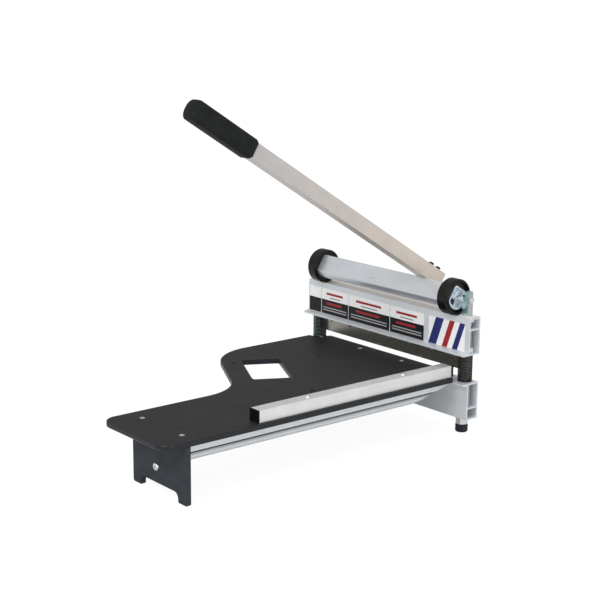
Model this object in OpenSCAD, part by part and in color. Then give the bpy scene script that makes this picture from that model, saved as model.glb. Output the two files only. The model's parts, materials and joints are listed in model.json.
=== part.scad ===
// Flooring shear: a table board, two box beams, a blade, a cam tube and a long lever.
// X runs along the beams with the lever near +X, Y from the table's free end to the beams, Z up.
// The origin is on the ground under the middle of the part, and lengths are in millimetres.

/* [Beams] */
// Length of both box beams
beam_length = 420; // [416:1:440]
// Depth of a beam, front wall to rear wall
beam_depth = 27; // [27:0.5:30]
// Height of a beam
beam_height = 65; // [62:1:75]
// Thickness of a beam's walls
beam_wall = 3; // [2.5:0.1:3.2]
// Reach of the lip ahead of the front wall
lip_reach = 12; // [11:0.5:16]
// Thickness of the lip where it meets the wall
lip_root = 5.5; // [5:0.1:8]
// Thickness of the lip at its tip
lip_tip = 3; // [2.5:0.1:4.5]
// Height of the inner rib over the beam's outer face
rib_setback = 19; // [18:0.5:26]
// Height of the lower beam over the ground
beam_lift = 26; // [24:0.5:30]
// Gap between the beams with the lever up
throat = 48.5; // [46:0.5:54]
// Width of a fine groove along the beam's front
groove_width = 0.6; // [0.4:0.1:2]
// Depth of a fine groove along the beam's front
groove_depth = 0.3; // [0.2:0.1:1]

/* [Table] */
// Thickness of the table board
board_thickness = 9; // [8:0.5:12]
// Reach of the board from the front wall to its free end
board_reach = 604; // [580:1:640]
// Distance from a beam's end to the board's edge
board_inset = 20; // [12:1:24]
// Width of the board at its free end
narrow_width = 172; // [165:1:185]
// Reach of the board behind the front wall
board_overlap = 15; // [14:0.1:15]
// Reach of the slanted edge at the narrow end
slant_narrow_reach = 346; // [336:1:360]
// Reach of the slanted edge at the wide end
slant_wide_reach = 236; // [226:1:250]
// Radius of the board's outer corners
board_corner_r = 24; // [16:1:30]
// Radius where the slanted edge leaves the narrow end
slant_inner_r = 95; // [70:1:100]
// Radius where the slanted edge meets the wide end
slant_outer_r = 110; // [80:1:115]
// Length of the hand window
window_length = 124; // [100:1:130]
// Width of the hand window
window_width = 67; // [55:1:70]
// Board left between the window and the slanted edge
window_margin = 38; // [34:1:44]
// Radius of the window's corners
window_corner_r = 4; // [2:0.5:8]
// Diameter of the four accessory holes
stop_hole_d = 6.5; // [5:0.5:8]
// Spacing of the two accessory holes near the beams
inner_hole_spacing = 90; // [80:1:100]
// Spacing of the two accessory holes far from the beams
outer_hole_spacing = 215; // [200:1:220]
// Reach of the accessory holes near the beams
inner_hole_reach = 107; // [95:1:120]
// Reach of the accessory holes far from the beams
outer_hole_reach = 252; // [248:1:258]

/* [Leg and rail] */
// Thickness of the leg plate
leg_thickness = 9; // [8:0.5:12]
// Width of the leg plate
leg_width = 143.5; // [140:0.5:148]
// Distance from the board's free end to the leg's outer face
leg_setback = 39.5; // [35:0.5:45]
// Height of the cut-out between the leg's two feet
notch_height = 15; // [10:0.5:20]
// Width of one of the leg's feet on the ground
leg_foot_width = 23; // [18:1:30]
// Width of the rail under the near edge
rail_width = 14; // [12:0.5:16]
// Height of the rail
rail_height = 25; // [22:0.5:28]
// Reach of the slanted cut at the rail's end
rail_cut = 85; // [60:1:100]
// Height of the flat band along the rail's top
rail_band = 11.4; // [9:0.1:13]
// Height of the block behind the leg
block_height = 59; // [57:1:64]
// Thickness of the block behind the leg
block_thickness = 10; // [9:0.5:14]

/* [Fence] */
// Width of the fence tube
fence_width = 22; // [20:0.5:24]
// Height of the fence tube
fence_height = 20; // [18:0.5:24]
// Wall of the fence tube
fence_wall = 2; // [1.5:0.1:2.5]
// Reach of the fence from the front wall to its outer end
fence_reach = 426.5; // [400:1:450]
// Distance from the board's near edge to the middle of the fence
fence_inset = 16; // [15:0.5:20]

/* [Posts and springs] */
// Width of a guide post along the beams
post_width = 14; // [13:0.5:14]
// Thickness of a guide post across the beams
post_thickness = 11; // [10.5:0.5:11]
// Distance from a beam's end to the middle of its post
post_inset = 18.5; // [18.5:0.5:20]
// Height of a post over the upper beam
post_rise = 42.5; // [41:0.5:50]
// Outer diameter of a return spring
spring_d = 25.4; // [24:0.1:26]
// Diameter of the spring wire
wire_d = 2; // [1.8:0.1:2.1]
// Number of curls of a spring
spring_curls = 16; // [10:1:16]
// Thickness of a spring seat
seat_thickness = 1.5; // [1:0.1:2]
// Diameter of a foot cap
foot_d = 21.6; // [20:0.1:25]
// Height of a foot cap
foot_height = 13.8; // [12:0.1:16]

/* [Blade] */
// Distance from a beam's end to the blade's end
blade_inset = 32; // [32:0.5:45]
// Thickness of the blade
blade_thickness = 5; // [4:0.1:5]
// Gap between the blade's edge and the board's top with the lever up
blade_opening = 7.9; // [7:0.1:8]
// Height of the bevel on the blade
bevel_height = 7; // [4:0.5:10]
// Number of blade screws
blade_screw_count = 7; // [5:1:8]

/* [Cam and lever] */
// Diameter of a cam wheel
wheel_d = 62.5; // [58:0.5:64]
// Width of a cam wheel
wheel_width = 21.8; // [18:0.1:24]
// Distance from a beam's end to a wheel's outer face
wheel_inset = 29.7; // [29.7:0.1:34]
// Radius of the round side of the cam tube
cam_tube_r = 23.9; // [23:0.1:24.5]
// Distance from the wheels' middle to the cam tube's two flats
cam_flat = 16.9; // [16.5:0.1:17.2]
// Wall of the cam tube
cam_tube_wall = 3; // [2.5:0.1:3.5]
// Offset of the wheels from the pivot pins
eccentric = 12.3; // [11:0.1:12.5]
// Angle of the offset over the level with the lever up, in degrees
eccentric_angle = 15.7; // [10:0.1:18]
// Slope of the lever when it is up, in degrees
lever_angle = 31.5; // [28:0.5:36]
// Size of the square lever tube
lever_size = 25.4; // [24:0.1:26]
// Wall of the lever tube
lever_wall = 2; // [1.6:0.1:3]
// Length of the lever tube ahead of the cam tube's middle
lever_reach = 582.5; // [560:0.5:620]
// Length of the lever tube behind the cam tube's middle
lever_tail = 22.5; // [18:0.5:24]
// Distance from the near end of the beams to the middle of the lever
lever_inset = 113.5; // [80:0.5:150]
// Length of the rubber grip
grip_length = 131.1; // [120:0.1:160]
// Thickness of the rubber grip
grip_size = 33.2; // [32:0.1:38]
// Diameter of a pivot pin
pin_d = 10; // [8:0.5:10]

/* [Hidden] */

$fn = 48;
// One overrun for every cut
over = 1;
// Gap between pieces that slide past each other
slide_gap = 0.06;
// Gap between bodies that come close
body_gap = 0.3;
// Gap between the blade and the back edge of the board
blade_gap = 0.5;

// Heights
board_z = beam_lift + beam_height;
board_top = board_z + board_thickness;
upper_z = board_z + throat;
upper_top = upper_z + beam_height;
edge_z = board_top + blade_opening;

// Lengths that follow the beams
board_half_width = beam_length / 2 - board_inset;
blade_length = beam_length - 2 * blade_inset;
wheel_face = beam_length / 2 - wheel_inset;
lever_x = beam_length / 2 - lever_inset;

// Posts, pivots and wheels
post_x = beam_length / 2 - post_inset;
post_y = beam_depth / 2;
wheel_r = wheel_d / 2;
wheel_z = upper_top + body_gap + wheel_r;
wheel_y = post_y - eccentric * cos(eccentric_angle);
pivot_z = wheel_z - eccentric * sin(eccentric_angle);
post_foot_z = beam_lift + rib_setback + beam_wall;
post_top = upper_top + post_rise;
pin_r = pin_d / 2;

// The front wall's place puts the part's middle at the origin
lever_back = wheel_y + lever_tail * cos(lever_angle) + (cam_flat + lever_size) * sin(lever_angle);
front_wall = (board_reach - lever_back) / 2;

// Fasteners: shank radius, head radius, head height and nut width across flats
m4_r = 2;
m5_r = 2.5;
m6_r = 3;
m8_r = 4;
csk_head_r = 4.5;
csk_head_h = 2.6;
pan_head_r = 4.2;
pan_head_h = 2.6;
socket_depth = 1.4;
m5_nut_width = 8;
m5_nut_height = 3.2;
m8_head_r = 6.5;
m8_head_h = 4;
pin_nut_width = 10;
pin_nut_height = 3;

// Board
narrow_edge = board_half_width - narrow_width;
shoulder_half = blade_length / 2 - 6;
shoulder_reach = lip_reach + 2;
tongue_half = blade_length / 2 - 18;
tongue_step = 1;
slant_a = [narrow_edge, -slant_narrow_reach];
slant_b = [-board_half_width, -slant_wide_reach];
slant_angle = atan2(slant_b[1] - slant_a[1], slant_b[0] - slant_a[0]);
// Where along the slanted edge the window's middle lies
window_place_share = 0.49;
window_at = slant_a + (slant_b - slant_a) * window_place_share
    + (window_margin + window_width / 2) * [sin(slant_angle), -cos(slant_angle)];
stop_hole_x = -6.5;
arc_steps = 12;

// Leg, block and rail
leg_inset = 1;
leg_x = board_half_width - leg_inset - leg_width;
leg_inner = board_reach - leg_setback - leg_thickness;
notch_corner_r = 9;
foot_corner_r = 3.5;
block_length = 120;
block_x = leg_x + block_length / 2;
leg_screw_x = block_x + 6;
leg_screw_z = 41.5;
leg_screw_length = 16;
button_r = 6.4;
button_h = 4;
button_rim = 1;
leg_end_spacing = 106;
leg_end_length = 24;
rail_x = board_half_width - fence_inset;
rail_neck = 8;
rail_gap = 1;
rail_front = shoulder_reach + rail_gap;
rail_tip = 4;

// Fence
fence_near = lip_reach + fence_wall;
cap_outer = 2.5;
cap_inner = 5;
cap_plug = 12;
fence_screw_reaches = [118, 323];

// Board screws into the lip
board_screw_y = -lip_reach / 2;
board_screw_count = 4;
board_screw_margin = 25;
board_screw_pitch = 2 * (board_half_width - board_screw_margin) / (board_screw_count - 1);

// Posts and springs
bush_wall = 2;
bush_length = 10;
collar_wall = 2;
collar_height = 1.2;
post_chamfer = 2;
spring_r = (spring_d - wire_d) / 2;
spring_span = throat - 2 * seat_thickness;
seat_r = spring_d / 2;
spring_y = post_y - 1;
foot_x = post_x - 3.5;
foot_y = post_y - 1;
foot_nut_width = 18.5;
foot_chamfer = 1.5;
stud_top = beam_lift + beam_wall;
stud_base = foot_height / 2;
post_screw_grip = 18;

// Blade
blade_y = board_overlap + blade_gap;
flange_wall = 3;
flange_drop = 18;
flange_half = blade_length / 2 - 2 * wire_d;
blade_screw_z = upper_z - flange_drop / 2;
blade_screw_margin = 14.8;
blade_screw_pitch = (blade_length - 2 * blade_screw_margin) / (blade_screw_count - 1);
edge_land = 0.6;

// Panels on the upper beam's front
panel_wall = 0.3;
panel_low_share = 0.09;
panel_high_share = 0.83;
wide_panel_share = [0.007, 0.742];
small_panel_share = [0.771, 0.977];

// Cam tube
nose_chamfer = 0.8;
wheel_rim = 4.5;
wheel_recess = 6;
wheel_inner_recess = 3;
wheel_chamfer = 2;
cam_shift = 1.5;
tube_half = wheel_face - 8.3;
plug_depth = 12;
hub_r = 21;
hub_flat = 16.2;
plug_face = wheel_face - 1;
plug_floor = wheel_face - 5.5;
plug_rim = 2.2;
plug_web_rise = 3;
plug_web_widths = [2.8, 2.1];
plug_web_length = 23;
plug_web_spacing = 5.3;
plug_web_at = [1.9, 2];
plug_web_angle = 23;
plug_gap = [14, 2];
plug_slot = [2, 5.4];
plug_slot_at = [-6.4, 6.2];
plug_slot_angle = -44;
plug_pocket = [[-14.4, 1.2], [-13.5, -7.8], [-7.1, -14.8], [-3.7, -9.1], [-2.7, -4]];
pin_end = tube_half - plug_depth + 3;
washer_wall = 2;
washer_r = 6.5;
post_mark_r = 2.4;
post_mark_depth = 8;
post_mark_at = [-4.2, 6.3];

// Lever
bolt_spacing = 19;
bolt_head_r = 5;
bolt_head_h = 6.5;
bolt_stem_r = 4.2;
bolt_stem_h = 3.9;
bolt_dome = 1.5;
bolt_shift = 2;
bolt_plate_wall = 5;
bolt_plate_back = 15.2;
grip_end = 10;
grip_corner = 8.8;
grip_nose = 8;
pin_nut_grip = 1;

// Everything is drawn from the front wall's face
module bench() {
    translate([0, front_wall, 0]) children();
}

// Runs an outline drawn in depth and height along the beams
module along_beams(length, middle = 0) {
    translate([middle - length / 2, 0, 0]) rotate([90, 0, 90]) linear_extrude(length) children();
}

// A cylinder along X between two places
module rod_x(r, from, to) {
    translate([from, 0, 0]) rotate([0, 90, 0]) cylinder(r = r, h = to - from);
}

module hex_nut(width, height, bore_r) {
    difference() {
        cylinder(r = width / sqrt(3), h = height, $fn = 6);
        translate([0, 0, -over]) cylinder(r = bore_r, h = height + 2 * over);
    }
}

// A countersunk screw whose head's top is at the height given, pointing down
module csk_screw(top, length, shank_r) {
    difference() {
        union() {
            translate([0, 0, top - length]) cylinder(r = shank_r, h = length - csk_head_h);
            translate([0, 0, top - csk_head_h]) cylinder(r1 = shank_r, r2 = csk_head_r, h = csk_head_h);
        }
        translate([0, 0, top - socket_depth]) cylinder(r = shank_r / 2, h = socket_depth + over, $fn = 6);
    }
}

module csk_hole(top, depth, shank_r) {
    translate([0, 0, top - depth - over]) cylinder(r = shank_r, h = depth + 2 * over);
    translate([0, 0, top - csk_head_h]) cylinder(r1 = shank_r, r2 = csk_head_r, h = csk_head_h);
    translate([0, 0, top]) cylinder(r = csk_head_r, h = over);
}

module both_sides() {
    for (side = [-1, 1]) translate([side * post_x, post_y, 0]) children();
}

module post_section(gap = 0) {
    square([post_width + 2 * gap, post_thickness + 2 * gap], center = true);
}

// Box beam, lip on top, in depth and height
module beam_outline() {
    difference() {
        polygon([
            [0, 0], [beam_depth, 0], [beam_depth, beam_height], [-lip_reach, beam_height],
            [-lip_reach, beam_height - lip_tip], [0, beam_height - lip_root]
        ]);
        translate([beam_wall, beam_wall])
            square([beam_depth - 2 * beam_wall, rib_setback - beam_wall]);
        translate([beam_wall, rib_setback + beam_wall])
            square([beam_depth - 2 * beam_wall, beam_height - rib_setback - 2 * beam_wall]);
        for (share = [0.2, 0.4, 0.6, 0.8])
            translate([-over, beam_height * share - groove_width / 2])
                square([over + groove_depth, groove_width]);
    }
}

module lower_beam() {
    color([0.75, 0.77, 0.79]) bench() difference() {
        translate([0, 0, beam_lift]) along_beams(beam_length) beam_outline();
        both_sides() translate([0, 0, post_foot_z]) linear_extrude(beam_height) post_section();
        both_sides() translate([0, 0, post_foot_z - 2 * beam_wall])
            cylinder(r = m8_r, h = 2 * beam_wall + over);
        for (side = [-1, 1]) translate([side * foot_x, foot_y, beam_lift - over])
            cylinder(r = m8_r, h = beam_wall + 2 * over);
        board_screw_places() translate([0, 0, board_z - lip_root - over])
            cylinder(r = m4_r, h = lip_root + 2 * over);
    }
}

module board_screw_places() {
    for (i = [0 : board_screw_count - 1])
        translate([(i - (board_screw_count - 1) / 2) * board_screw_pitch, board_screw_y, 0]) children();
}

// Points on an arc that rounds the corner at b between a and c
function unit(v) = v / norm(v);
function arc_corner(a, b, c, r) =
    let (
        u = unit(a - b),
        w = unit(c - b),
        half = acos(u * w) / 2,
        middle = b + unit(u + w) * r / sin(half),
        from = b + u * r / tan(half) - middle,
        turn = (180 - 2 * half) * sign(u[0] * w[1] - u[1] * w[0])
    )
    [for (i = [0 : arc_steps])
        let (t = -turn * i / arc_steps)
        middle + [from[0] * cos(t) - from[1] * sin(t), from[0] * sin(t) + from[1] * cos(t)]];

module board_outline() {
    free_near = [board_half_width, -board_reach];
    free_far = [narrow_edge, -board_reach];
    wide_back = [-board_half_width, -shoulder_reach];
    polygon(concat(
        [[board_half_width, -shoulder_reach], [shoulder_half, -shoulder_reach],
            [shoulder_half, -tongue_step], [tongue_half, board_overlap], [-tongue_half, board_overlap],
            [-shoulder_half, -tongue_step], [-shoulder_half, -shoulder_reach], wide_back],
        arc_corner(wide_back, slant_b, slant_a, slant_outer_r),
        arc_corner(slant_b, slant_a, free_far, slant_inner_r),
        arc_corner(slant_a, free_far, free_near, board_corner_r),
        arc_corner(free_far, free_near, wide_back + [2 * board_half_width, 0], board_corner_r)
    ));
}

module rounded_rect(length, width, r) {
    difference() {
        square([length, width], center = true);
        for (sx = [-1, 1]) for (sy = [-1, 1]) translate([sx * (length / 2 - r), sy * (width / 2 - r)])
            difference() {
                translate([sx > 0 ? 0 : -2 * r, sy > 0 ? 0 : -2 * r]) square(2 * r);
                circle(r);
            }
    }
}

module stop_hole_places() {
    for (side = [-1, 1]) {
        translate([stop_hole_x + side * inner_hole_spacing / 2, -inner_hole_reach, 0]) children();
        translate([stop_hole_x + side * outer_hole_spacing / 2, -outer_hole_reach, 0]) children();
    }
}

module fence_screw_places() {
    for (reach = fence_screw_reaches) translate([rail_x, -reach, 0]) children();
}

module leg_end_places() {
    for (side = [-1, 1]) translate([block_x + side * leg_end_spacing / 2, block_thickness / 2 - leg_inner, 0])
        children();
}

module leg_screw_place() {
    translate([leg_screw_x, -leg_inner, leg_screw_z]) rotate([90, 0, 0]) children();
}

module table_board() {
    color([0.2, 0.19, 0.19]) bench() difference() {
        translate([0, 0, board_z]) linear_extrude(board_thickness) difference() {
            board_outline();
            translate(window_at) rotate(slant_angle) rounded_rect(window_length, window_width, window_corner_r);
        }
        stop_hole_places() translate([0, 0, board_z - over])
            cylinder(d = stop_hole_d, h = board_thickness + 2 * over);
        board_screw_places() csk_hole(board_top, board_thickness, m4_r);
        leg_end_places() csk_hole(board_top, board_thickness, m5_r);
        fence_screw_places() translate([0, 0, board_z - over])
            cylinder(r = m5_r, h = board_thickness + 2 * over);
    }
}

module beam_board_screws() {
    color([0.8, 0.8, 0.8]) bench() board_screw_places()
        csk_screw(board_top, board_thickness + lip_tip, m4_r);
}

// Leg plate, seen from the free end
module leg_outline() {
    corners = [
        [0, 0], [leg_foot_width, 0], [leg_foot_width, notch_height],
        [leg_width - leg_foot_width, notch_height], [leg_width - leg_foot_width, 0], [leg_width, 0]
    ];
    tops = [[leg_width, board_z], [0, board_z]];
    route = concat(tops, corners, tops);
    polygon(concat(tops, [
        for (i = [0 : len(corners) - 1])
            for (p = arc_corner(route[i + 1], route[i + 2], route[i + 3],
                corners[i][1] > 0 ? notch_corner_r : foot_corner_r)) p
    ]));
}

module table_leg() {
    color([0.25, 0.27, 0.3]) bench() difference() {
        translate([leg_x, -leg_inner, 0]) rotate([90, 0, 0]) linear_extrude(leg_thickness) leg_outline();
        leg_screw_place() translate([0, 0, -over]) cylinder(r = m6_r, h = leg_thickness + 2 * over);
    }
}

module leg_block() {
    color([0.15, 0.15, 0.15]) bench() difference() {
        translate([leg_x, -leg_inner, board_z - block_height])
            cube([block_length, block_thickness, block_height]);
        leg_end_places() translate([0, 0, board_top - leg_end_length]) cylinder(r = m5_r, h = leg_end_length);
        leg_screw_place() translate([0, 0, leg_thickness - leg_screw_length])
            cylinder(r = m6_r, h = leg_screw_length);
    }
}

// Button-head screw on the leg's outer face
module leg_screw() {
    color([0.7, 0.72, 0.74]) bench() leg_screw_place() difference() {
        union() {
            translate([0, 0, leg_thickness - leg_screw_length]) cylinder(r = m6_r, h = leg_screw_length);
            translate([0, 0, leg_thickness]) {
                cylinder(r = button_r, h = button_rim);
                translate([0, 0, button_rim]) cylinder(r1 = button_r, r2 = m6_r + over, h = button_h - button_rim);
            }
        }
        translate([0, 0, leg_thickness + button_h - 2 * socket_depth])
            cylinder(r = m6_r - over, h = 2 * socket_depth + over, $fn = 6);
    }
}

module leg_end_screws() {
    color([0.8, 0.8, 0.8]) bench() leg_end_places() csk_screw(board_top, leg_end_length, m5_r);
}

// Rail's section under the board: a flat band over a round bar
module rail_section() {
    r = rail_width / 2;
    translate([-r, -rail_band]) square([rail_width, rail_band]);
    translate([-rail_neck / 2, r - rail_height]) square([rail_neck, rail_height - r]);
    translate([0, r - rail_height]) circle(r);
}

// Rail under the near edge, with its end cut on a slant
module table_rail() {
    color([0.78, 0.79, 0.8]) bench() difference() {
        intersection() {
            translate([rail_x, 0, board_z]) rotate([90, 0, 0]) linear_extrude(leg_inner) rail_section();
            along_beams(2 * rail_width, rail_x) translate([0, board_z]) polygon([
                [-leg_inner, 0], [-leg_inner, -rail_height], [-rail_front - rail_cut, -rail_height],
                [-rail_front, -rail_tip], [-rail_front, 0]
            ]);
        }
        fence_screw_places() translate([0, 0, board_z - rail_height / 2])
            cylinder(r = m5_r, h = rail_height);
    }
}

module fence_tube() {
    color([0.8, 0.81, 0.82]) bench() difference() {
        translate([rail_x - fence_width / 2, -fence_reach, board_top])
            cube([fence_width, fence_reach - fence_near, fence_height]);
        translate([rail_x - fence_width / 2 + fence_wall, -fence_reach - over, board_top + fence_wall])
            cube([fence_width - 2 * fence_wall, fence_reach, fence_height - 2 * fence_wall]);
        fence_screw_places() translate([0, 0, board_top - over])
            cylinder(r = m5_r, h = fence_height + 2 * over);
    }
}

// Plug in one end of the fence, its flange outside
module fence_cap(end_y, flange, way) {
    translate([rail_x - fence_width / 2, min(end_y, end_y + way * flange), board_top])
        cube([fence_width, flange, fence_height]);
    translate([rail_x - fence_width / 2 + fence_wall, min(end_y, end_y - way * cap_plug), board_top + fence_wall])
        cube([fence_width - 2 * fence_wall, cap_plug, fence_height - 2 * fence_wall]);
}

module fence_outer_cap() {
    color([0.08, 0.08, 0.09]) bench() fence_cap(-fence_reach, cap_outer, -1);
}

module fence_inner_cap() {
    color([0.08, 0.08, 0.09]) bench() fence_cap(-fence_near, cap_inner, 1);
}

module fence_screws() {
    color([0.8, 0.8, 0.8]) bench() fence_screw_places() difference() {
        union() {
            translate([0, 0, board_z - rail_height / 2])
                cylinder(r = m5_r, h = rail_height / 2 + board_thickness + fence_height);
            translate([0, 0, board_top + fence_height]) cylinder(r = pan_head_r, h = pan_head_h);
        }
        translate([0, 0, board_top + fence_height + pan_head_h - socket_depth])
            cylinder(r = m5_r / 2, h = socket_depth + over, $fn = 6);
    }
}

// Guide post with its top chamfered, a pivot hole and a threaded foot
module guide_post(side) {
    color([0.62, 0.7, 0.69]) bench() difference() {
        translate([side * post_x, post_y, 0]) intersection() {
            translate([0, 0, post_foot_z]) linear_extrude(post_top - post_foot_z) post_section();
            translate([0, 0, post_foot_z]) rotate([90, 0, 0]) linear_extrude(post_thickness, center = true) polygon([
                [-post_width / 2, 0], [post_width / 2, 0],
                [post_width / 2, post_top - post_foot_z - post_chamfer],
                [post_width / 2 - post_chamfer, post_top - post_foot_z],
                [-post_width / 2 + post_chamfer, post_top - post_foot_z],
                [-post_width / 2, post_top - post_foot_z - post_chamfer]
            ]);
        }
        translate([side * post_x, post_y, pivot_z])
            rod_x(m6_r, -post_width / 2 - over, post_width / 2 + over);
        translate([side * (post_x + post_mark_at[0]), post_y - post_thickness / 2 + post_mark_depth,
            pivot_z + post_mark_at[1]])
            rotate([90, 0, 0]) cylinder(r = post_mark_r, h = post_mark_depth + over);
        translate([side * post_x, post_y, post_foot_z - over]) cylinder(r = m8_r, h = post_screw_grip + over);
    }
}

module near_guide_post() { guide_post(1); }
module far_guide_post() { guide_post(-1); }

module post_screws() {
    color([0.6, 0.62, 0.64]) bench() both_sides() {
        translate([0, 0, post_foot_z - beam_wall - m8_head_h]) cylinder(r = m8_head_r, h = m8_head_h);
        translate([0, 0, post_foot_z - beam_wall - over])
            cylinder(r = m8_r, h = beam_wall + over + post_screw_grip);
    }
}

module foot_cap(side) {
    color([0.09, 0.09, 0.09]) bench() translate([side * foot_x, foot_y, 0]) difference() {
        rotate_extrude() polygon([
            [0, 0], [foot_d / 2 - foot_chamfer, 0], [foot_d / 2, foot_chamfer],
            [foot_d / 2, foot_height - foot_chamfer], [foot_d / 2 - foot_chamfer, foot_height], [0, foot_height]
        ]);
        translate([0, 0, stud_base]) cylinder(r = m8_r, h = foot_height);
    }
}

module near_foot_cap() { foot_cap(1); }
module far_foot_cap() { foot_cap(-1); }

module foot_studs() {
    color([0.7, 0.72, 0.74]) bench() for (side = [-1, 1])
        translate([side * foot_x, foot_y, stud_base]) cylinder(r = m8_r, h = stud_top - stud_base);
}

module foot_nuts() {
    color([0.75, 0.77, 0.79]) bench() for (side = [-1, 1]) translate([side * foot_x, foot_y, foot_height])
        hex_nut(foot_nut_width, beam_lift - foot_height, m8_r);
}

// Wire's middle: straight up from a seat, round into the curls, and straight into the other seat
curl_rings = 8;
wire_sides = 6;
bend_rings = 3;
bend_r = wire_d;
curl_low = wire_d + bend_r;
curl_rise = (spring_span - 2 * curl_low) / spring_curls;
bend_turn = asin(bend_r / spring_r);
function curl_point(turn, height) = [spring_r * cos(turn), spring_r * sin(turn), height];
function spring_route() = concat(
    [curl_point(0, 0), curl_point(0, wire_d)],
    [for (i = [1 : bend_rings]) let (t = 90 * i / (bend_rings + 1))
        curl_point(bend_turn * (1 - cos(t)), wire_d + bend_r * sin(t))],
    [for (i = [0 : spring_curls * curl_rings])
        curl_point(bend_turn + (360 * i / curl_rings), curl_low + curl_rise * i / curl_rings)],
    [for (i = [bend_rings : -1 : 1]) let (t = 90 * i / (bend_rings + 1))
        curl_point(bend_turn + 360 * spring_curls + bend_turn * cos(t),
            spring_span - wire_d - bend_r * sin(t))],
    [curl_point(2 * bend_turn + 360 * spring_curls, spring_span - wire_d),
        curl_point(2 * bend_turn + 360 * spring_curls, spring_span)]
);

// A tube of a few sides swept along a route, ended square to it
function ring_at(route, i) =
    let (
        last = len(route) - 1,
        way = unit(route[min(i + 1, last)] - route[max(i - 1, 0)]),
        along = i == 0 || i == last ? [0, 0, 1] : way,
        out_raw = [route[i][0], route[i][1], 0],
        out = unit(out_raw - along * (out_raw * along)),
        side = cross(along, out)
    )
    [for (k = [0 : wire_sides - 1])
        let (t = 360 * k / wire_sides)
        route[i] + wire_d / 2 * (cos(t) * out + sin(t) * side)];
function tube_points(route) = [for (i = [0 : len(route) - 1]) for (p = ring_at(route, i)) p];
function tube_faces(rings) = concat(
    [for (k = [1 : wire_sides - 2]) [0, k + 1, k]],
    [for (i = [0 : rings - 2]) for (k = [0 : wire_sides - 1])
        for (half = [0, 1])
            let (
                a = i * wire_sides + k,
                b = i * wire_sides + (k + 1) % wire_sides
            )
            half == 0 ? [a, b, b + wire_sides] : [a, b + wire_sides, a + wire_sides]],
    [for (k = [1 : wire_sides - 2])
        let (base = (rings - 1) * wire_sides)
        [base, base + k, base + k + 1]]
);

// Least gap of the wire to itself, between rings at least half a curl apart
function self_gap(points) = min([
    for (i = [0 : len(points) - 1]) for (j = [i + wire_sides * curl_rings / 2 : len(points) - 1])
        abs(points[i][2] - points[j][2]) < wire_d * 2 ? norm(points[i] - points[j]) : spring_d
]);

module return_spring(side) {
    route = spring_route();
    points = tube_points(route);
    echo(spring_self_gap = self_gap(points));
    color([0.2, 0.17, 0.15]) bench() translate([side * post_x, spring_y, board_z + seat_thickness])
        polyhedron(points, tube_faces(len(route)));
}

module near_return_spring() { return_spring(1); }
module far_return_spring() { return_spring(-1); }

module spring_seats(height, gap) {
    color([0.5, 0.5, 0.5]) bench() both_sides() translate([0, 0, height]) difference() {
        translate([0, spring_y - post_y, 0]) cylinder(r = seat_r, h = seat_thickness);
        translate([0, 0, -over]) linear_extrude(seat_thickness + 2 * over) post_section(gap);
    }
}

module lower_spring_seats() { spring_seats(board_z, slide_gap); }
module upper_spring_seats() { spring_seats(upper_z - seat_thickness, body_gap); }

// Upper beam: the same section turned over, with the blade's flange under it
module upper_beam() {
    color([0.75, 0.77, 0.79]) bench() difference() {
        union() {
            translate([0, 0, upper_top]) mirror([0, 0, 1]) along_beams(beam_length) beam_outline();
            translate([-flange_half, blade_y + blade_thickness, upper_z - flange_drop])
                cube([2 * flange_half, flange_wall, flange_drop + over]);
        }
        both_sides() translate([0, 0, upper_z - over])
            linear_extrude(beam_height + 2 * over) post_section(slide_gap + bush_wall);
        blade_screw_places() translate([0, 0, -over])
            cylinder(r = m5_r, h = blade_thickness + flange_wall + 2 * over);
    }
}

// Places of the blade screws, with Z along the screw towards the back
module blade_screw_places() {
    for (i = [0 : blade_screw_count - 1])
        translate([(i - (blade_screw_count - 1) / 2) * blade_screw_pitch, blade_y, blade_screw_z])
            rotate([-90, 0, 0]) children();
}

module bush_body(height) {
    linear_extrude(height) difference() {
        post_section(slide_gap + bush_wall);
        post_section(slide_gap);
    }
}

module guide_bushes(side) {
    color([0.93, 0.93, 0.92]) bench() translate([side * post_x, post_y, 0]) {
        translate([0, 0, upper_z]) bush_body(bush_length);
        translate([0, 0, upper_top - bush_length]) bush_body(bush_length);
        translate([0, 0, upper_top]) linear_extrude(collar_height) difference() {
            post_section(slide_gap + bush_wall + collar_wall);
            post_section(slide_gap);
        }
    }
}

module near_guide_bushes() { guide_bushes(1); }
module far_guide_bushes() { guide_bushes(-1); }

module blade() {
    color([0.3, 0.29, 0.26]) bench() difference() {
        along_beams(blade_length) translate([blade_y, 0]) polygon([
            [0, edge_z], [edge_land, edge_z], [blade_thickness, edge_z + bevel_height],
            [blade_thickness, upper_z], [0, upper_z]
        ]);
        blade_screw_places() translate([0, 0, -over])
            cylinder(r = m5_r, h = blade_thickness + 2 * over);
    }
}

module blade_screws() {
    color([0.6, 0.6, 0.58]) bench() blade_screw_places() difference() {
        union() {
            translate([0, 0, -pan_head_h]) cylinder(r = pan_head_r, h = pan_head_h);
            cylinder(r = m5_r, h = blade_thickness + flange_wall + m5_nut_height);
        }
        translate([0, 0, -pan_head_h - over]) cylinder(r = m5_r / 2, h = socket_depth + over, $fn = 6);
    }
}

module blade_nuts() {
    color([0.6, 0.6, 0.58]) bench() blade_screw_places()
        translate([0, 0, blade_thickness + flange_wall]) hex_nut(m5_nut_width, m5_nut_height, m5_r);
}

module front_panels() {
    low = upper_z + beam_height * panel_low_share;
    color([0.95, 0.95, 0.95]) bench() for (ends = [wide_panel_share, small_panel_share])
        translate([(ends[0] - 1 / 2) * beam_length, -panel_wall, low])
            cube([(ends[1] - ends[0]) * beam_length, panel_wall,
                beam_height * (panel_high_share - panel_low_share)]);
}

// Puts what follows at the cam tube's middle, turned so that Z leaves the tube's lever flat
module in_cam() {
    bench() translate([0, wheel_y, wheel_z]) rotate([-lever_angle, 0, 0]) children();
}

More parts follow.
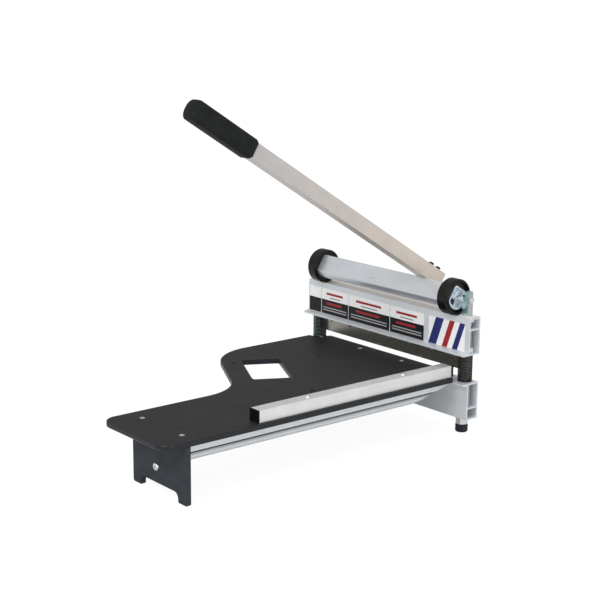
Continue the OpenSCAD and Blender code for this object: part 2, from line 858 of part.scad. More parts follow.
// Round below, with two flats that meet at a nose on top
module cam_outline(inset = 0) {
    r = cam_tube_r - inset;
    flat = cam_flat - inset;
    intersection() {
        translate([-cam_shift, cam_shift]) circle(r);
        translate([-flat, -2 * r]) square([3 * r, flat + 2 * r]);
        rotate(45) translate([-2 * r, -2 * r]) square([4 * r, 2 * r + flat * sqrt(2) - nose_chamfer]);
    }
}

// Outline of the plug where it stands out of the cam tube
module hub_outline(inset = 0) {
    flat = hub_flat - inset;
    intersection() {
        circle(hub_r - inset);
        translate([-flat, -2 * hub_r]) square([3 * hub_r, flat + 2 * hub_r]);
    }
}

module cam_tube() {
    color([0.8, 0.81, 0.82]) in_cam() difference() {
        along_beams(2 * tube_half) difference() {
            cam_outline();
            cam_outline(cam_tube_wall);
        }
        handle_bolt_places() translate([0, 0, -2 * cam_tube_wall]) cylinder(r = m6_r, h = 3 * cam_tube_wall);
    }
}

module cam_wheel(side) {
    r = wheel_r;
    c = wheel_chamfer;
    back = -side * (wheel_face - wheel_width);
    color([0.1, 0.1, 0.1]) difference() {
        bench() translate([side * wheel_face, wheel_y, wheel_z]) rotate([0, -side * 90, 0])
            rotate_extrude() polygon([
                [0, wheel_recess], [r - wheel_rim, wheel_recess], [r - wheel_rim, c / 2],
                [r - wheel_rim + c / 2, 0], [r - c, 0], [r, c], [r, wheel_width - c],
                [r - c, wheel_width], [r - wheel_rim, wheel_width],
                [r - wheel_rim, wheel_width - wheel_inner_recess], [0, wheel_width - wheel_inner_recess]
            ]);
        in_cam() {
            along_beams(2 * tube_half) cam_outline();
            along_beams(3 * wheel_face) hub_outline();
        }
    }
}

module near_cam_wheel() { cam_wheel(1); }
module far_cam_wheel() { cam_wheel(-1); }

// Places along a pivot pin, with X towards the part's end
module at_pivot(side) {
    bench() translate([0, post_y, pivot_z]) scale([side, 1, 1]) children();
}

// Plug in the end of the cam tube: bored for the pivot pin, with a rim, two webs and open cells on its face
module cam_plug(side) {
    color([0.72, 0.74, 0.76]) difference() {
        union() {
            in_cam() along_beams(plug_depth, side * (tube_half - plug_depth / 2)) cam_outline(cam_tube_wall);
            difference() {
                in_cam() along_beams(plug_face - tube_half, side * (plug_face + tube_half) / 2) hub_outline();
                in_cam() along_beams(wheel_recess, side * (plug_floor + wheel_recess / 2)) hub_outline(plug_rim);
            }
            intersection() {
                in_cam() along_beams(3 * wheel_face) hub_outline(plug_rim / 2);
                in_plug(side, plug_floor - over, plug_web_rise + over)
                    translate(plug_web_at) rotate(plug_web_angle) for (i = [0, 1])
                        translate([0, (1 / 2 - i) * plug_web_spacing])
                            square([plug_web_length, plug_web_widths[i]], center = true);
            }
        }
        at_pivot(side) rod_x(pin_r + slide_gap, 0, wheel_face + over);
        in_plug(side, tube_half - plug_depth - over, plug_depth + wheel_recess + wheel_inner_recess) {
            translate(plug_slot_at) rotate(plug_slot_angle) square(plug_slot, center = true);
            translate(plug_web_at) rotate(plug_web_angle) square(plug_gap, center = true);
            polygon(plug_pocket);
        }
    }
}

// Runs an outline round the wheel's middle along X from the place given
module in_plug(side, from, length) {
    bench() translate([0, wheel_y, wheel_z]) along_beams(length, side * (from + length / 2)) children();
}

module near_cam_plug() { cam_plug(1); }
module far_cam_plug() { cam_plug(-1); }

// Shouldered pin: its thick part turns in the plug, its thin end is clamped to the post
module pivot_pin(side) {
    shoulder = post_x - post_width / 2 - washer_wall;
    outer = post_x + post_width / 2 + pin_nut_height + pin_nut_grip;
    color([0.7, 0.72, 0.74]) at_pivot(side) {
        rod_x(pin_r, pin_end, shoulder);
        rod_x(m6_r, shoulder - over, outer);
    }
}

module near_pivot_pin() { pivot_pin(1); }
module far_pivot_pin() { pivot_pin(-1); }

module pivot_nuts() {
    color([0.75, 0.77, 0.79]) for (side = [-1, 1]) at_pivot(side)
        translate([post_x + post_width / 2, 0, 0]) rotate([0, 90, 0])
            hex_nut(pin_nut_width, pin_nut_height, m6_r);
}

module pivot_washers() {
    color([0.75, 0.77, 0.79]) for (side = [-1, 1]) at_pivot(side)
        translate([post_x - post_width / 2 - washer_wall, 0, 0]) rotate([0, 90, 0]) difference() {
            cylinder(r = washer_r, h = washer_wall);
            translate([0, 0, -over]) cylinder(r = m6_r, h = washer_wall + 2 * over);
        }
}

// Lever tube on the cam tube's flat
module handle_tube() {
    color([0.79, 0.76, 0.74]) in_cam() difference() {
        translate([lever_x - lever_size / 2, -lever_reach, cam_flat])
            cube([lever_size, lever_reach + lever_tail, lever_size]);
        translate([lever_x - lever_size / 2 + lever_wall, -lever_reach - over, cam_flat + lever_wall])
            cube([lever_size - 2 * lever_wall, lever_reach + lever_tail + 2 * over, lever_size - 2 * lever_wall]);
        handle_bolt_places() translate([0, 0, -over]) cylinder(r = m6_r, h = lever_size + 2 * over);
    }
}

// Where the bolts enter the cam tube's flat, with Z towards their heads
module handle_bolt_places() {
    for (side = [-1, 1]) translate([lever_x, bolt_shift + side * bolt_spacing / 2, cam_flat]) children();
}

// Rounded on all four sides and round its outer end
module handle_grip() {
    middle = cam_flat + lever_size / 2;
    inner_end = grip_length - lever_reach - grip_end;
    color([0.12, 0.12, 0.12]) in_cam() difference() {
        intersection() {
            translate([lever_x, inner_end, middle]) rotate([90, 0, 0])
                linear_extrude(grip_length) rounded_rect(grip_size, grip_size, grip_corner);
            along_beams(grip_size, lever_x) translate([inner_end, middle])
                rounded_rect(2 * grip_length, grip_size, grip_nose);
            translate([lever_x, inner_end, middle - grip_size / 2])
                linear_extrude(grip_size) rounded_rect(grip_size, 2 * grip_length, grip_nose);
        }
        translate([lever_x - lever_size / 2, -lever_reach, cam_flat])
            cube([lever_size, grip_length, lever_size]);
    }
}

module handle_bolts() {
    color([0.08, 0.08, 0.08]) in_cam() handle_bolt_places() {
        translate([0, 0, -cam_tube_wall - bolt_plate_wall])
            cylinder(r = m6_r, h = cam_tube_wall + bolt_plate_wall + lever_size + over);
        translate([0, 0, lever_size]) cylinder(r = bolt_stem_r, h = bolt_stem_h + bolt_dome / 2);
        translate([0, 0, lever_size + bolt_stem_h])
            cylinder(r = bolt_head_r, h = bolt_head_h - bolt_stem_h - bolt_dome);
        translate([0, 0, lever_size + bolt_head_h - bolt_dome])
            cylinder(r1 = bolt_head_r, r2 = bolt_head_r - 2 * bolt_dome, h = bolt_dome);
    }
}

// Threaded plate inside the cam tube
module handle_bolt_plate() {
    inner = cam_flat - cam_tube_wall - slide_gap;
    front = inner - 2 * nose_chamfer;
    color([0.6, 0.62, 0.64]) in_cam() difference() {
        translate([lever_x - lever_size / 2, -front, inner - bolt_plate_wall])
            cube([lever_size, front + bolt_plate_back, bolt_plate_wall]);
        handle_bolt_places() translate([0, 0, -lever_size]) cylinder(r = m6_r, h = lever_size);
    }
}

lower_beam();
table_board();
table_leg();
leg_block();
leg_screw();
leg_end_screws();
beam_board_screws();
table_rail();
fence_tube();
fence_outer_cap();
fence_inner_cap();
fence_screws();
near_guide_post();
far_guide_post();
post_screws();
near_foot_cap();
far_foot_cap();
foot_studs();
foot_nuts();
near_return_spring();
far_return_spring();
lower_spring_seats();
upper_spring_seats();
upper_beam();
near_guide_bushes();
far_guide_bushes();
blade();
blade_screws();
blade_nuts();
front_panels();
cam_tube();
near_cam_wheel();
far_cam_wheel();
near_cam_plug();
far_cam_plug();
near_pivot_pin();
far_pivot_pin();
pivot_nuts();
pivot_washers();
handle_tube();
handle_grip();
handle_bolts();
handle_bolt_plate();
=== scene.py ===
"""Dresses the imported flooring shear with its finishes, rounded edges, springs, fasteners, grip and panels."""

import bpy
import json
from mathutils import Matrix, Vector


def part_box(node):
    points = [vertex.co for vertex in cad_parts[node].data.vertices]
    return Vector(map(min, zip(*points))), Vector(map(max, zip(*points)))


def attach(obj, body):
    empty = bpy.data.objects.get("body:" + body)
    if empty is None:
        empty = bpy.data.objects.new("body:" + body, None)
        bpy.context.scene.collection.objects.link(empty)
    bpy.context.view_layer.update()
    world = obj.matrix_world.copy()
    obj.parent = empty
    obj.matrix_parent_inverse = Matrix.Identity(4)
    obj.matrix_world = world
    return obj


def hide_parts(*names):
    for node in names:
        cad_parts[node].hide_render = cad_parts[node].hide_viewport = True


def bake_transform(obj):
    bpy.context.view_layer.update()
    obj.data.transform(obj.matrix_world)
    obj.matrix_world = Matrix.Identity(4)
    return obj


bl_info = {
    "name": "Flooring Shear Workshop",
    "version": (1, 0, 0),
    "blender": (4, 5, 0),
    "location": "View3D > Sidebar > Shear",
    "description": "Builds the finished pieces of a lever-operated flooring shear over its packed frame",
    "category": "Object",
}

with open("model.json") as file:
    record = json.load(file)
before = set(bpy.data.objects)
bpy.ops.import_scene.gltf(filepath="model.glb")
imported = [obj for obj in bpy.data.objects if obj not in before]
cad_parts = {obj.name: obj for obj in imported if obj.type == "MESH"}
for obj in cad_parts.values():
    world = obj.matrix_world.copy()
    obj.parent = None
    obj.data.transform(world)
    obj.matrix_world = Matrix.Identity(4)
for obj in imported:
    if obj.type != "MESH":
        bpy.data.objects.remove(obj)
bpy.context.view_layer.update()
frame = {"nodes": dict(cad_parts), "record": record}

import json
import math
from functools import partial

import bmesh
import bpy
from bpy.props import FloatProperty, FloatVectorProperty, IntProperty, PointerProperty
from bpy.types import Operator, Panel, PropertyGroup
from mathutils import Euler, Matrix, Vector

MM = 0.001
BODY = {node: body for body, nodes in frame["record"]["behaviour"]["bodies"].items() for node in nodes}
ENDS = ("near", "far")
# A face is flat across an axis when its normal's part along that axis is more than this
FLAT = 0.97
# Turns of a fastener that points down, to face the front and to lie along X
FRONT = (math.radians(90), 0, 0)
ALONG_X = (0, math.radians(90), 0)
# Points in a ring of a screw or nut
RING = 48
# Distance between a spring's closed turns, in radii of its wire
CLOSED_TURN = 2.06


def millimetres(name, description, value):
    """A length setting whose default is given in millimetres."""
    return FloatProperty(name=name, description=description, default=value * MM, unit="LENGTH", precision=5)


def degrees(name, description, value):
    """An angle setting whose default is given in degrees."""
    return FloatProperty(name=name, description=description, default=math.radians(value), subtype="ANGLE")


def number(name, description, value):
    return FloatProperty(name=name, description=description, default=value)


def count(name, description, value):
    return IntProperty(name=name, description=description, default=value)


def colour(name, description, value):
    """A linear colour setting."""
    return FloatVectorProperty(name=name, description=description, default=value, subtype="COLOR",
                               min=0, max=1)


class ShearSizes(PropertyGroup):
    """Sizes that the finished pieces add to the frame."""

    beam_edge: millimetres("Beam edge", "Rounding of the extruded beams' long edges", 0.6)
    board_edge: millimetres("Board edge", "Rounding of the table board's edges", 1.9)
    leg_edge: millimetres("Leg edge", "Rounding of the leg plate's edges", 1.5)
    lever_edge: millimetres("Lever edge", "Rounding of the square lever tube", 1.6)
    small_edge: millimetres("Small edge", "Rounding of small turned and sawn pieces", 0.3)
    wheel_edge: millimetres("Wheel edge", "Rounding of the cam wheels' rims", 0.8)
    wire_radius: millimetres("Wire radius", "Half the thickness of the spring wire", 1.0)
    coil_radius: millimetres("Coil radius", "Radius of the spring at the middle of its wire", 11.7)
    active_turns: number("Active turns", "Open turns of a spring", 15.0)
    dead_turns: number("Dead turns", "Closed turns at each end of a spring", 0.75)
    grip_corner: millimetres("Grip corner", "Rounding of the grip along its length", 8.8)
    grip_nose: millimetres("Grip nose", "Rounding of the grip's outer end", 8.0)
    grip_nose_corner: millimetres("Grip nose corner", "What the nose adds to the grip's corners", 3)
    grip_mouth: millimetres("Grip mouth", "Rounding of the grip's inner end", 5.5)
    grip_tuck: millimetres("Grip tuck", "How far the grip's inner end turns in along the tube", 4)
    lever_angle: degrees("Lever angle", "Slope of the raised lever", 31.5)


class ShearFasteners(PropertyGroup):
    """Sizes of the screws and nuts that can't be read from the frame."""

    blade_shank: millimetres("Blade screw shank", "Radius of the shank", 2.4)
    blade_head: millimetres("Blade screw head", "Radius of the head", 4.2)
    blade_socket: millimetres("Blade screw socket", "Radius of the socket", 1.5)
    blade_nut: millimetres("Blade nut", "Width over the flats", 8)
    blade_nut_bore: millimetres("Blade nut bore", "Radius of the bore", 2.5)
    board_shank: millimetres("Board screw shank", "Radius of the shank", 2)
    leg_end_shank: millimetres("Leg end screw shank", "Radius of the shank", 2.5)
    sunk_head: millimetres("Countersunk head", "Radius of the board and leg end screws' heads", 4.5)
    sunk_depth: millimetres("Countersunk depth", "Depth of those heads", 2.6)
    sunk_socket: millimetres("Countersunk socket", "Radius of their sockets", 1.6)
    fence_shank: millimetres("Fence screw shank", "Radius of the shank", 2.45)
    fence_socket: millimetres("Fence screw socket", "Radius of the socket", 1.5)
    leg_shank: millimetres("Leg screw shank", "Radius of the shank", 3)
    leg_socket: millimetres("Leg screw socket", "Radius of the socket", 2)
    foot_nut: millimetres("Foot nut", "Width over the flats", 18.5)
    foot_nut_bore: millimetres("Foot nut bore", "Radius of the bore", 4)
    pivot_nut: millimetres("Pivot nut", "Thickness of the nut", 3)
    pivot_nut_bore: millimetres("Pivot nut bore", "Radius of the bore", 3)
    lever_head: millimetres("Lever bolt head", "Height of the black heads", 4.6)


class ShearColours(PropertyGroup):
    """Base colours of the finishes."""

    beam: colour("Beam aluminium", "Extruded beams, rail and cam tube", (0.70, 0.735, 0.77))
    # Painted light: the upper beam's top faces take a lighter, warmer colour for the warm light that falls on
    # them
    beam_top: colour("Beam top", "Warmer top of the upper beam", (0.90, 0.83, 0.76))
    fence: colour("Fence aluminium", "Fence tube", (0.81, 0.81, 0.81))
    lever: colour("Lever aluminium", "Outer end of the lever tube", (0.55, 0.545, 0.56))
    # Painted light: the lever's inner end is lighter and warmer than its outer end, for warm light reflected
    # there
    lever_low_painted_light: colour("Lever low", "Warmer inner end of the lever tube", (0.76, 0.67, 0.585))
    board: colour("Board black", "Textured table board", (0.022, 0.021, 0.021))
    # Partly painted shade: the cut edge's smoother skin is its own; its darker, bluer colour than the top is
    # painted shade
    rim: colour("Rim black", "Cut edge of the board", (0.017, 0.019, 0.025))
    # Painted shade: the rounding's near-black colour stands for the dark it reflects; its gloss is its own
    edge: colour("Edge black", "Polished rounding of the board's edge", (0.003, 0.003, 0.004))
    leg: colour("Leg black", "Leg plate and its block", (0.033, 0.038, 0.047))
    nylon: colour("Wheel nylon", "Cam wheels and end caps", (0.004, 0.004, 0.0045))
    rubber: colour("Rubber", "Grip", (0.011, 0.012, 0.012))
    foot: colour("Foot rubber", "Foot caps", (0.018, 0.021, 0.027))
    zinc: colour("Zinc", "Plated nuts, studs and screws", (0.76, 0.78, 0.78))
    post: colour("Post zinc", "Plated guide posts", (0.56, 0.75, 0.74))
    # Painted shade: the posts' outer sides take a greyer copy of the zinc, for how light falls on them
    post_side: colour("Post side", "Greyer zinc on the posts' outer sides", (0.52, 0.55, 0.56))
    plug: colour("Plug zinc", "Plated plugs of the cam tube", (0.84, 0.90, 0.96))
    blade: colour("Blade steel", "Ground blade", (0.33, 0.32, 0.285))
    near_wire: colour("Near wire", "Oiled wire of the near spring", (0.055, 0.048, 0.042))
    # Painted shade: the far spring is of the same wire as the near one; its blacker colour stands for the shade
    # it lies in
    far_wire: colour("Far wire", "Blacker wire of the far spring", (0.008, 0.008, 0.008))
    black_steel: colour("Black steel", "Blackened bolts", (0.015, 0.015, 0.015))
    slick: colour("Slick plastic", "White guide bushes", (0.85, 0.85, 0.83))
    film_white: colour("Film white", "Panel ground", (0.93, 0.93, 0.93))
    film_black: colour("Film black", "Panel's dark block", (0.009, 0.009, 0.011))
    film_red: colour("Film red", "Panel's red bars", (0.36, 0.025, 0.03))
    film_blue: colour("Film blue", "Panel's blue stripes", (0.022, 0.03, 0.16))
    film_grey: colour("Film grey", "Panel's fine rules", (0.42, 0.42, 0.43))


def sizes():
    return bpy.context.scene.shear_sizes


def fasteners():
    return bpy.context.scene.shear_fasteners


def colours():
    return bpy.context.scene.shear_colours


# Materials

def add(tree, kind, inputs=None, **settings):
    """Adds a node, sets its settings, and links or sets its inputs by name or number."""
    node = tree.nodes.new(kind)
    for key, value in settings.items():
        setattr(node, key, value)
    for key, value in (inputs or {}).items():
        if isinstance(value, bpy.types.NodeSocket):
            tree.links.new(value, node.inputs[key])
        else:
            node.inputs[key].default_value = value
    return node


def maths(tree, operation, *values):
    return add(tree, "ShaderNodeMath", dict(enumerate(values)), operation=operation).outputs[0]


def vectors(tree, operation, first, second):
    return add(tree, "ShaderNodeVectorMath", {0: first, 1: second}, operation=operation).outputs[0]


def scaled(tree, vector, factor):
    return add(tree, "ShaderNodeVectorMath", {0: vector, "Scale": factor}, operation="SCALE").outputs[0]


def spread(tree, value, low, high, start=0.3, end=0.7):
    """Maps a value between start and end, a noise's usual reach, onto a range."""
    inputs = {"Value": value, "From Min": start, "From Max": end, "To Min": low, "To Max": high}
    return add(tree, "ShaderNodeMapRange", inputs).outputs["Result"]


def here(tree, axis=None):
    """The place on the piece in Object coordinates, or its part along one axis."""
    place = add(tree, "ShaderNodeTexCoord").outputs["Object"]
    return add(tree, "ShaderNodeSeparateXYZ", {0: place}).outputs[axis] if axis else place


def grain(tree, feature, turn=(0, 0, 0), detail=3.0):
    """Noise whose lumps have the given sizes along three axes, in metres."""
    inputs = {"Vector": here(tree), "Rotation": turn, "Scale": feature}
    placed = add(tree, "ShaderNodeMapping", inputs, vector_type="TEXTURE").outputs["Vector"]
    return add(tree, "ShaderNodeTexNoise", {"Vector": placed, "Scale": 1.0, "Detail": detail}).outputs["Fac"]


def speckle(tree, size, detail=3.0):
    """Noise with round lumps of a size in millimetres."""
    return grain(tree, (size * MM,) * 3, detail=detail)


def weighed(tree, first, share, second):
    """Mixes a share of one noise with the rest of another."""
    rest = maths(tree, "MULTIPLY", second, 1 - share)
    return maths(tree, "ADD", maths(tree, "MULTIPLY", first, share), rest)


def mottled(tree, shader, tone, stain, tints, sheen, roughness):
    """Darkens and lightens the colour by one noise, and spreads the roughness by another."""
    tree.links.new(scaled(tree, tone, spread(tree, stain, *tints)), shader.inputs["Base Color"])
    tree.links.new(spread(tree, sheen, *roughness), shader.inputs["Roughness"])


def emboss(tree, shader, height, depth, strength=1.0):
    """Raises the surface by a height in units of a depth in millimetres."""
    inputs = {"Height": height, "Distance": depth * MM, "Strength": strength}
    bump = add(tree, "ShaderNodeBump", inputs)
    tree.links.new(bump.outputs["Normal"], shader.inputs["Normal"])


def finish(name, base, metallic, roughness, build, shine=0.5):
    """A material whose build function links colour, roughness and height to the shader."""
    name = "fine_" + name
    if name in bpy.data.materials:
        return bpy.data.materials[name]
    material = bpy.data.materials.new(name)
    material.use_nodes = True
    material.diffuse_color = (*base, 1)
    tree = material.node_tree
    shader = tree.nodes["Principled BSDF"]
    values = {"Base Color": (*base, 1), "Metallic": metallic, "Roughness": roughness}
    for key, value in {**values, "Specular IOR Level": shine}.items():
        shader.inputs[key].default_value = value
    build(tree, shader, Vector(base))
    return material


def recess(tree, top, reach, darkest=0.9):
    """A shade that takes most light just under a height, and none a reach below it."""
    depth = maths(tree, "SUBTRACT", top, here(tree, "Z"))
    fade = spread(tree, depth, darkest, 0.0, 0.0, reach)
    taken = maths(tree, "MULTIPLY", fade, maths(tree, "GREATER_THAN", depth, 0.0))
    return maths(tree, "SUBTRACT", 1.0, taken)


def toward(tree, first, second, start, end):
    """Goes from one colour to another between two places along Y."""
    share = spread(tree, here(tree, "Y"), 0.0, 1.0, start, end)
    return vectors(tree, "ADD", first, scaled(tree, Vector(second) - first, share))


def drawn_metal(name, base, along, turn=(0, 0, 0), roughness=0.38, metallic=0.6, lines=0.5, depth=0.03,
                shade=None, painted_light_change=None):
    """Extruded or drawn aluminium, part satin: fine lines along one axis, blotches and handling marks."""
    def build(tree, shader, tone):
        # Painted light: a change of colour along Y, for light that falls unevenly along the piece
        if painted_light_change:
            tone = toward(tree, tone, *painted_light_change)
        # Painted shade: darkens the colour below a height
        if shade:
            tone = scaled(tree, tone, recess(tree, *shade))
        feature = [lines * MM] * 3
        feature[along] = 0.3
        streak = grain(tree, feature, turn, detail=2)
        both = weighed(tree, streak, 0.55, grain(tree, (0.05, 0.03, 0.03), turn, detail=4))
        mottled(tree, shader, tone, both, (0.90, 1.07), both, (roughness - 0.06, roughness + 0.08))
        emboss(tree, shader, streak, depth, 0.6)
    return finish(name, base, metallic, roughness, build)


def moulded_black(name, base, roughness=0.6, pore=0.7, depth=0.08, shine=0.25):
    """Black plastic sheet with a fine pebbled skin and faint scuffs."""
    def build(tree, shader, tone):
        pebble = speckle(tree, pore, 2)
        scuff = grain(tree, (0.06, 0.02, 0.02), (0, 0, 0.6), detail=5)
        mottled(tree, shader, tone, scuff, (0.85, 1.2), pebble, (roughness - 0.08, roughness + 0.1))
        emboss(tree, shader, pebble, depth)
    return finish(name, base, 0.0, roughness, build, shine)


def plated(name, base, roughness=0.3):
    """Zinc plate: soft mottling with a few darker stains."""
    def build(tree, shader, tone):
        mottle = speckle(tree, 2.5, 4)
        both = weighed(tree, mottle, 0.5, speckle(tree, 9))
        mottled(tree, shader, tone, both, (0.93, 1.05), mottle, (roughness - 0.04, roughness + 0.08))
        emboss(tree, shader, mottle, 0.008, 0.4)
    return finish(name, base, 1.0, roughness, build)


def ground_steel(name, base):
    """Ground blade: close grinding lines across its length under a thin dark film."""
    def build(tree, shader, tone):
        line = grain(tree, (0.35 * MM, 20 * MM, 20 * MM))
        both = weighed(tree, line, 0.15, grain(tree, (60 * MM, 20 * MM, 20 * MM)))
        mottled(tree, shader, tone, both, (0.92, 1.08), line, (0.24, 0.27))
        emboss(tree, shader, line, 0.001, 0.4)
    return finish(name, base, 0.9, 0.26, build)


def turned_nylon(name, base, centre):
    """Turned plastic: fine rings round the wheel's axis."""
    def build(tree, shader, tone):
        across = vectors(tree, "MULTIPLY", vectors(tree, "SUBTRACT", here(tree), centre), (0, 1, 1))
        radius = add(tree, "ShaderNodeVectorMath", {0: across}, operation="LENGTH").outputs["Value"]
        rings = add(tree, "ShaderNodeTexNoise", {"W": radius, "Scale": 2500.0, "Detail": 2.0},
                    noise_dimensions="1D").outputs["Fac"]
        mottled(tree, shader, tone, speckle(tree, 8, 5), (0.8, 1.5), rings, (0.22, 0.32))
        emboss(tree, shader, rings, 0.03, 0.6)
    return finish(name, base, 0.0, 0.42, build, shine=0.25)


def soft_rubber(name, base, turn=(0, 0, 0)):
    """Moulded rubber: pores, a faint dusty bloom and a soft sheen."""
    def build(tree, shader, tone):
        pore = grain(tree, (0.6 * MM,) * 3, turn)
        bloom = grain(tree, (18 * MM,) * 3, turn, detail=4)
        mottled(tree, shader, tone, bloom, (0.8, 1.5), pore, (0.55, 0.75))
        emboss(tree, shader, pore, 0.06, 0.8)
    return finish(name, base, 0.0, 0.65, build, shine=0.12)


def oiled_wire(name, base):
    """Dark spring wire with patches of brown oil."""
    def build(tree, shader, tone):
        patch = speckle(tree, 3, 4)
        mottled(tree, shader, tone, patch, (0.6, 1.6), patch, (0.3, 0.5))
        emboss(tree, shader, patch, 0.02, 0.5)
    return finish(name, base, 0.85, 0.38, build)


def printed_film(name, base):
    """Glossy printed film with a faint ripple."""
    def build(tree, shader, tone):
        ripple = speckle(tree, 6, 2)
        mottled(tree, shader, tone, ripple, (0.96, 1.03), ripple, (0.3, 0.42))
        emboss(tree, shader, ripple, 0.01, 0.4)
    return finish(name, base, 0.0, 0.36, build, shine=0.2)


def slick_plastic(name, base):
    """White bearing plastic, slightly waxy."""
    def build(tree, shader, tone):
        cloud = speckle(tree, 4)
        mottled(tree, shader, tone, cloud, (0.93, 1.04), cloud, (0.35, 0.5))
        shader.inputs["Subsurface Weight"].default_value = 0.1
        shader.inputs["Subsurface Radius"].default_value = (MM, MM, MM)
    return finish(name, base, 0.0, 0.42, build)


def beam_metal():
    return drawn_metal("beam_aluminium", colours().beam, along=0, metallic=0.25)


def lever_metal():
    low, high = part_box("handle_tube")
    # Painted light: the lever's colour turns lighter and warmer towards its inner end
    return drawn_metal("lever_aluminium", colours().lever, along=1, turn=(-sizes().lever_angle, 0, 0),
                       roughness=0.36, painted_light_change=(colours().lever_low_painted_light, low.y, high.y))


def zinc():
    return plated("zinc_plate", colours().zinc)


def black_steel():
    return moulded_black("black_steel", colours().black_steel, 0.38, pore=1.0, depth=0.01, shine=0.3)


# Meshes

def settle(obj, node):
    """Puts a finished piece on the body of the CAD node that it stands for."""
    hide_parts(node)
    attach(obj, BODY[node])
    return obj


def as_mesh(name, shape):
    """Turns a bmesh into a mesh and frees it."""
    mesh = bpy.data.meshes.new(name)
    shape.to_mesh(mesh)
    shape.free()
    return mesh


def linked(name, data):
    """An object with its data, in the scene."""
    obj = bpy.data.objects.new(name, data)
    bpy.context.scene.collection.objects.link(obj)
    return obj


def new_object(name, mesh, *materials):
    mesh.name = name
    for material in materials:
        mesh.materials.append(material)
    return linked(name, mesh)


def discard(obj):
    """Removes a working object with its mesh."""
    mesh = obj.data
    bpy.data.objects.remove(obj)
    bpy.data.meshes.remove(mesh)


def evaluated_mesh(obj):
    """The plain mesh that an object's modifiers make."""
    return bpy.data.meshes.new_from_object(obj.evaluated_get(bpy.context.evaluated_depsgraph_get()))


def mark_sharp(shape, angle=math.radians(32)):
    """Smooth faces that break at clear edges."""
    for face in shape.faces:
        face.smooth = True
    for edge in shape.edges:
        edge.smooth = not (edge.is_manifold and edge.calc_face_angle(0) > angle)


def even_normals(obj):
    """Lets large flat faces set the shading beside small rounded edges, and applies it."""
    modifier = obj.modifiers.new("Even", "WEIGHTED_NORMAL")
    modifier.keep_sharp = True
    mesh = evaluated_mesh(obj)
    obj.modifiers.clear()
    old, obj.data = obj.data, mesh
    mesh.name = obj.name
    bpy.data.meshes.remove(old)


def clear_edges(shape, width, angle=math.radians(30)):
    """The sharp edges whose neighbours leave room for a rounding of this width."""
    room = 2.3 * width
    straight = 0.85
    sharp = {e for e in shape.edges if e.is_manifold and e.calc_face_angle(0) > angle}

    def crowded(edge):
        way = (edge.verts[1].co - edge.verts[0].co).normalized()
        for vert in edge.verts:
            for other in vert.link_edges:
                if other is edge:
                    continue
                run = other.other_vert(vert).co - vert.co
                along = min(abs(run.normalized().dot(way)), 1.0)
                if along < straight and run.length < room:
                    return True
                if along >= straight and other in sharp and edge.calc_length() < room * math.acos(along):
                    return True
        return False

    return [e for e in sharp if not crowded(e)]


def softened(node, width, segments=2, tight=False):
    """A copy of a CAD node's mesh with its clear edges rounded; a tight one has close neighbouring edges."""
    shape = bmesh.new()
    shape.from_mesh(frame["nodes"][node].data)
    bmesh.ops.remove_doubles(shape, verts=shape.verts, dist=2e-6)
    bmesh.ops.dissolve_limit(shape, angle_limit=math.radians(0.5), verts=shape.verts, edges=shape.edges)
    edges = clear_edges(shape, width)
    bmesh.ops.bevel(shape, geom=edges, offset=width, offset_type="OFFSET", segments=segments, profile=0.5,
                    affect="EDGES", clamp_overlap=tight)
    mark_sharp(shape)
    return as_mesh(node, shape)


def dress(node, material, edge="small", segments=2, tight=False):
    """Replaces a CAD node by its own shape with a kind of rounded edge and a finish."""
    width = getattr(sizes(), edge + "_edge")
    piece = new_object("fine_" + node, softened(node, width, segments, tight), material)
    even_normals(piece)
    return settle(piece, node)


def refinish(piece, material, chosen):
    """Gives another finish to the faces that pass a test."""
    piece.data.materials.append(material)
    last = len(piece.data.materials) - 1
    for face in piece.data.polygons:
        if chosen(face):
            face.material_index = last


def ring(sides, radius, height, limit=math.inf):
    """Points round the Z axis on a circle, or on a polygon of so many sides kept inside a limiting circle."""
    points = []
    for step in range(RING):
        turn = 2 * math.pi * step / RING
        reach = radius
        if sides:
            half = math.pi / sides
            reach = min(radius * math.cos(half) / math.cos(turn % (2 * half) - half), limit)
        points.append((reach * math.cos(turn), reach * math.sin(turn), height))
    return points


def stacked(rings, closed=False):
    """A bmesh through a list of rings, capped at both ends or closed on itself."""
    shape = bmesh.new()
    loops = [[shape.verts.new(p) for p in points] for points in rings]
    pairs = list(zip(loops, loops[1:]))
    if closed:
        pairs.append((loops[-1], loops[0]))
    for low, high in pairs:
        for k in range(len(low)):
            shape.faces.new((low[k - 1], low[k], high[k], high[k - 1]))
    if not closed:
        shape.faces.new(loops[0][::-1])
        shape.faces.new(loops[-1])
    bmesh.ops.recalc_face_normals(shape, faces=shape.faces)
    return shape


def socket_screw(shank, length, head, depth, socket, countersunk=False):
    """Screw along -Z whose head starts at the origin, with a hexagon socket. Sizes are in metres."""
    lip = 0.06 * head
    rings = [ring(0, shank * 0.8, -length), ring(0, shank, 0.2 * shank - length)]
    if countersunk:
        top = 0
        rings += [ring(0, shank, -depth), ring(0, head, -lip), ring(0, head - lip, 0)]
    else:
        top = depth
        side = 0.35 * depth
        rings += [ring(0, shank, 0), ring(0, head, 0), ring(0, head, side)]
        for share in (0.35, 0.6, 0.8):
            bend = share * math.pi / 2
            inset = (head - 1.5 * socket) * (1 - math.cos(bend))
            rings.append(ring(0, head - inset, side + (depth - side) * math.sin(bend)))
    rings += [ring(6, socket * 1.12, top), ring(6, socket, top - lip),
              ring(6, socket, top - 1.1 * socket), ring(0, socket * 0.3, top - 1.4 * socket)]
    return stacked(rings)


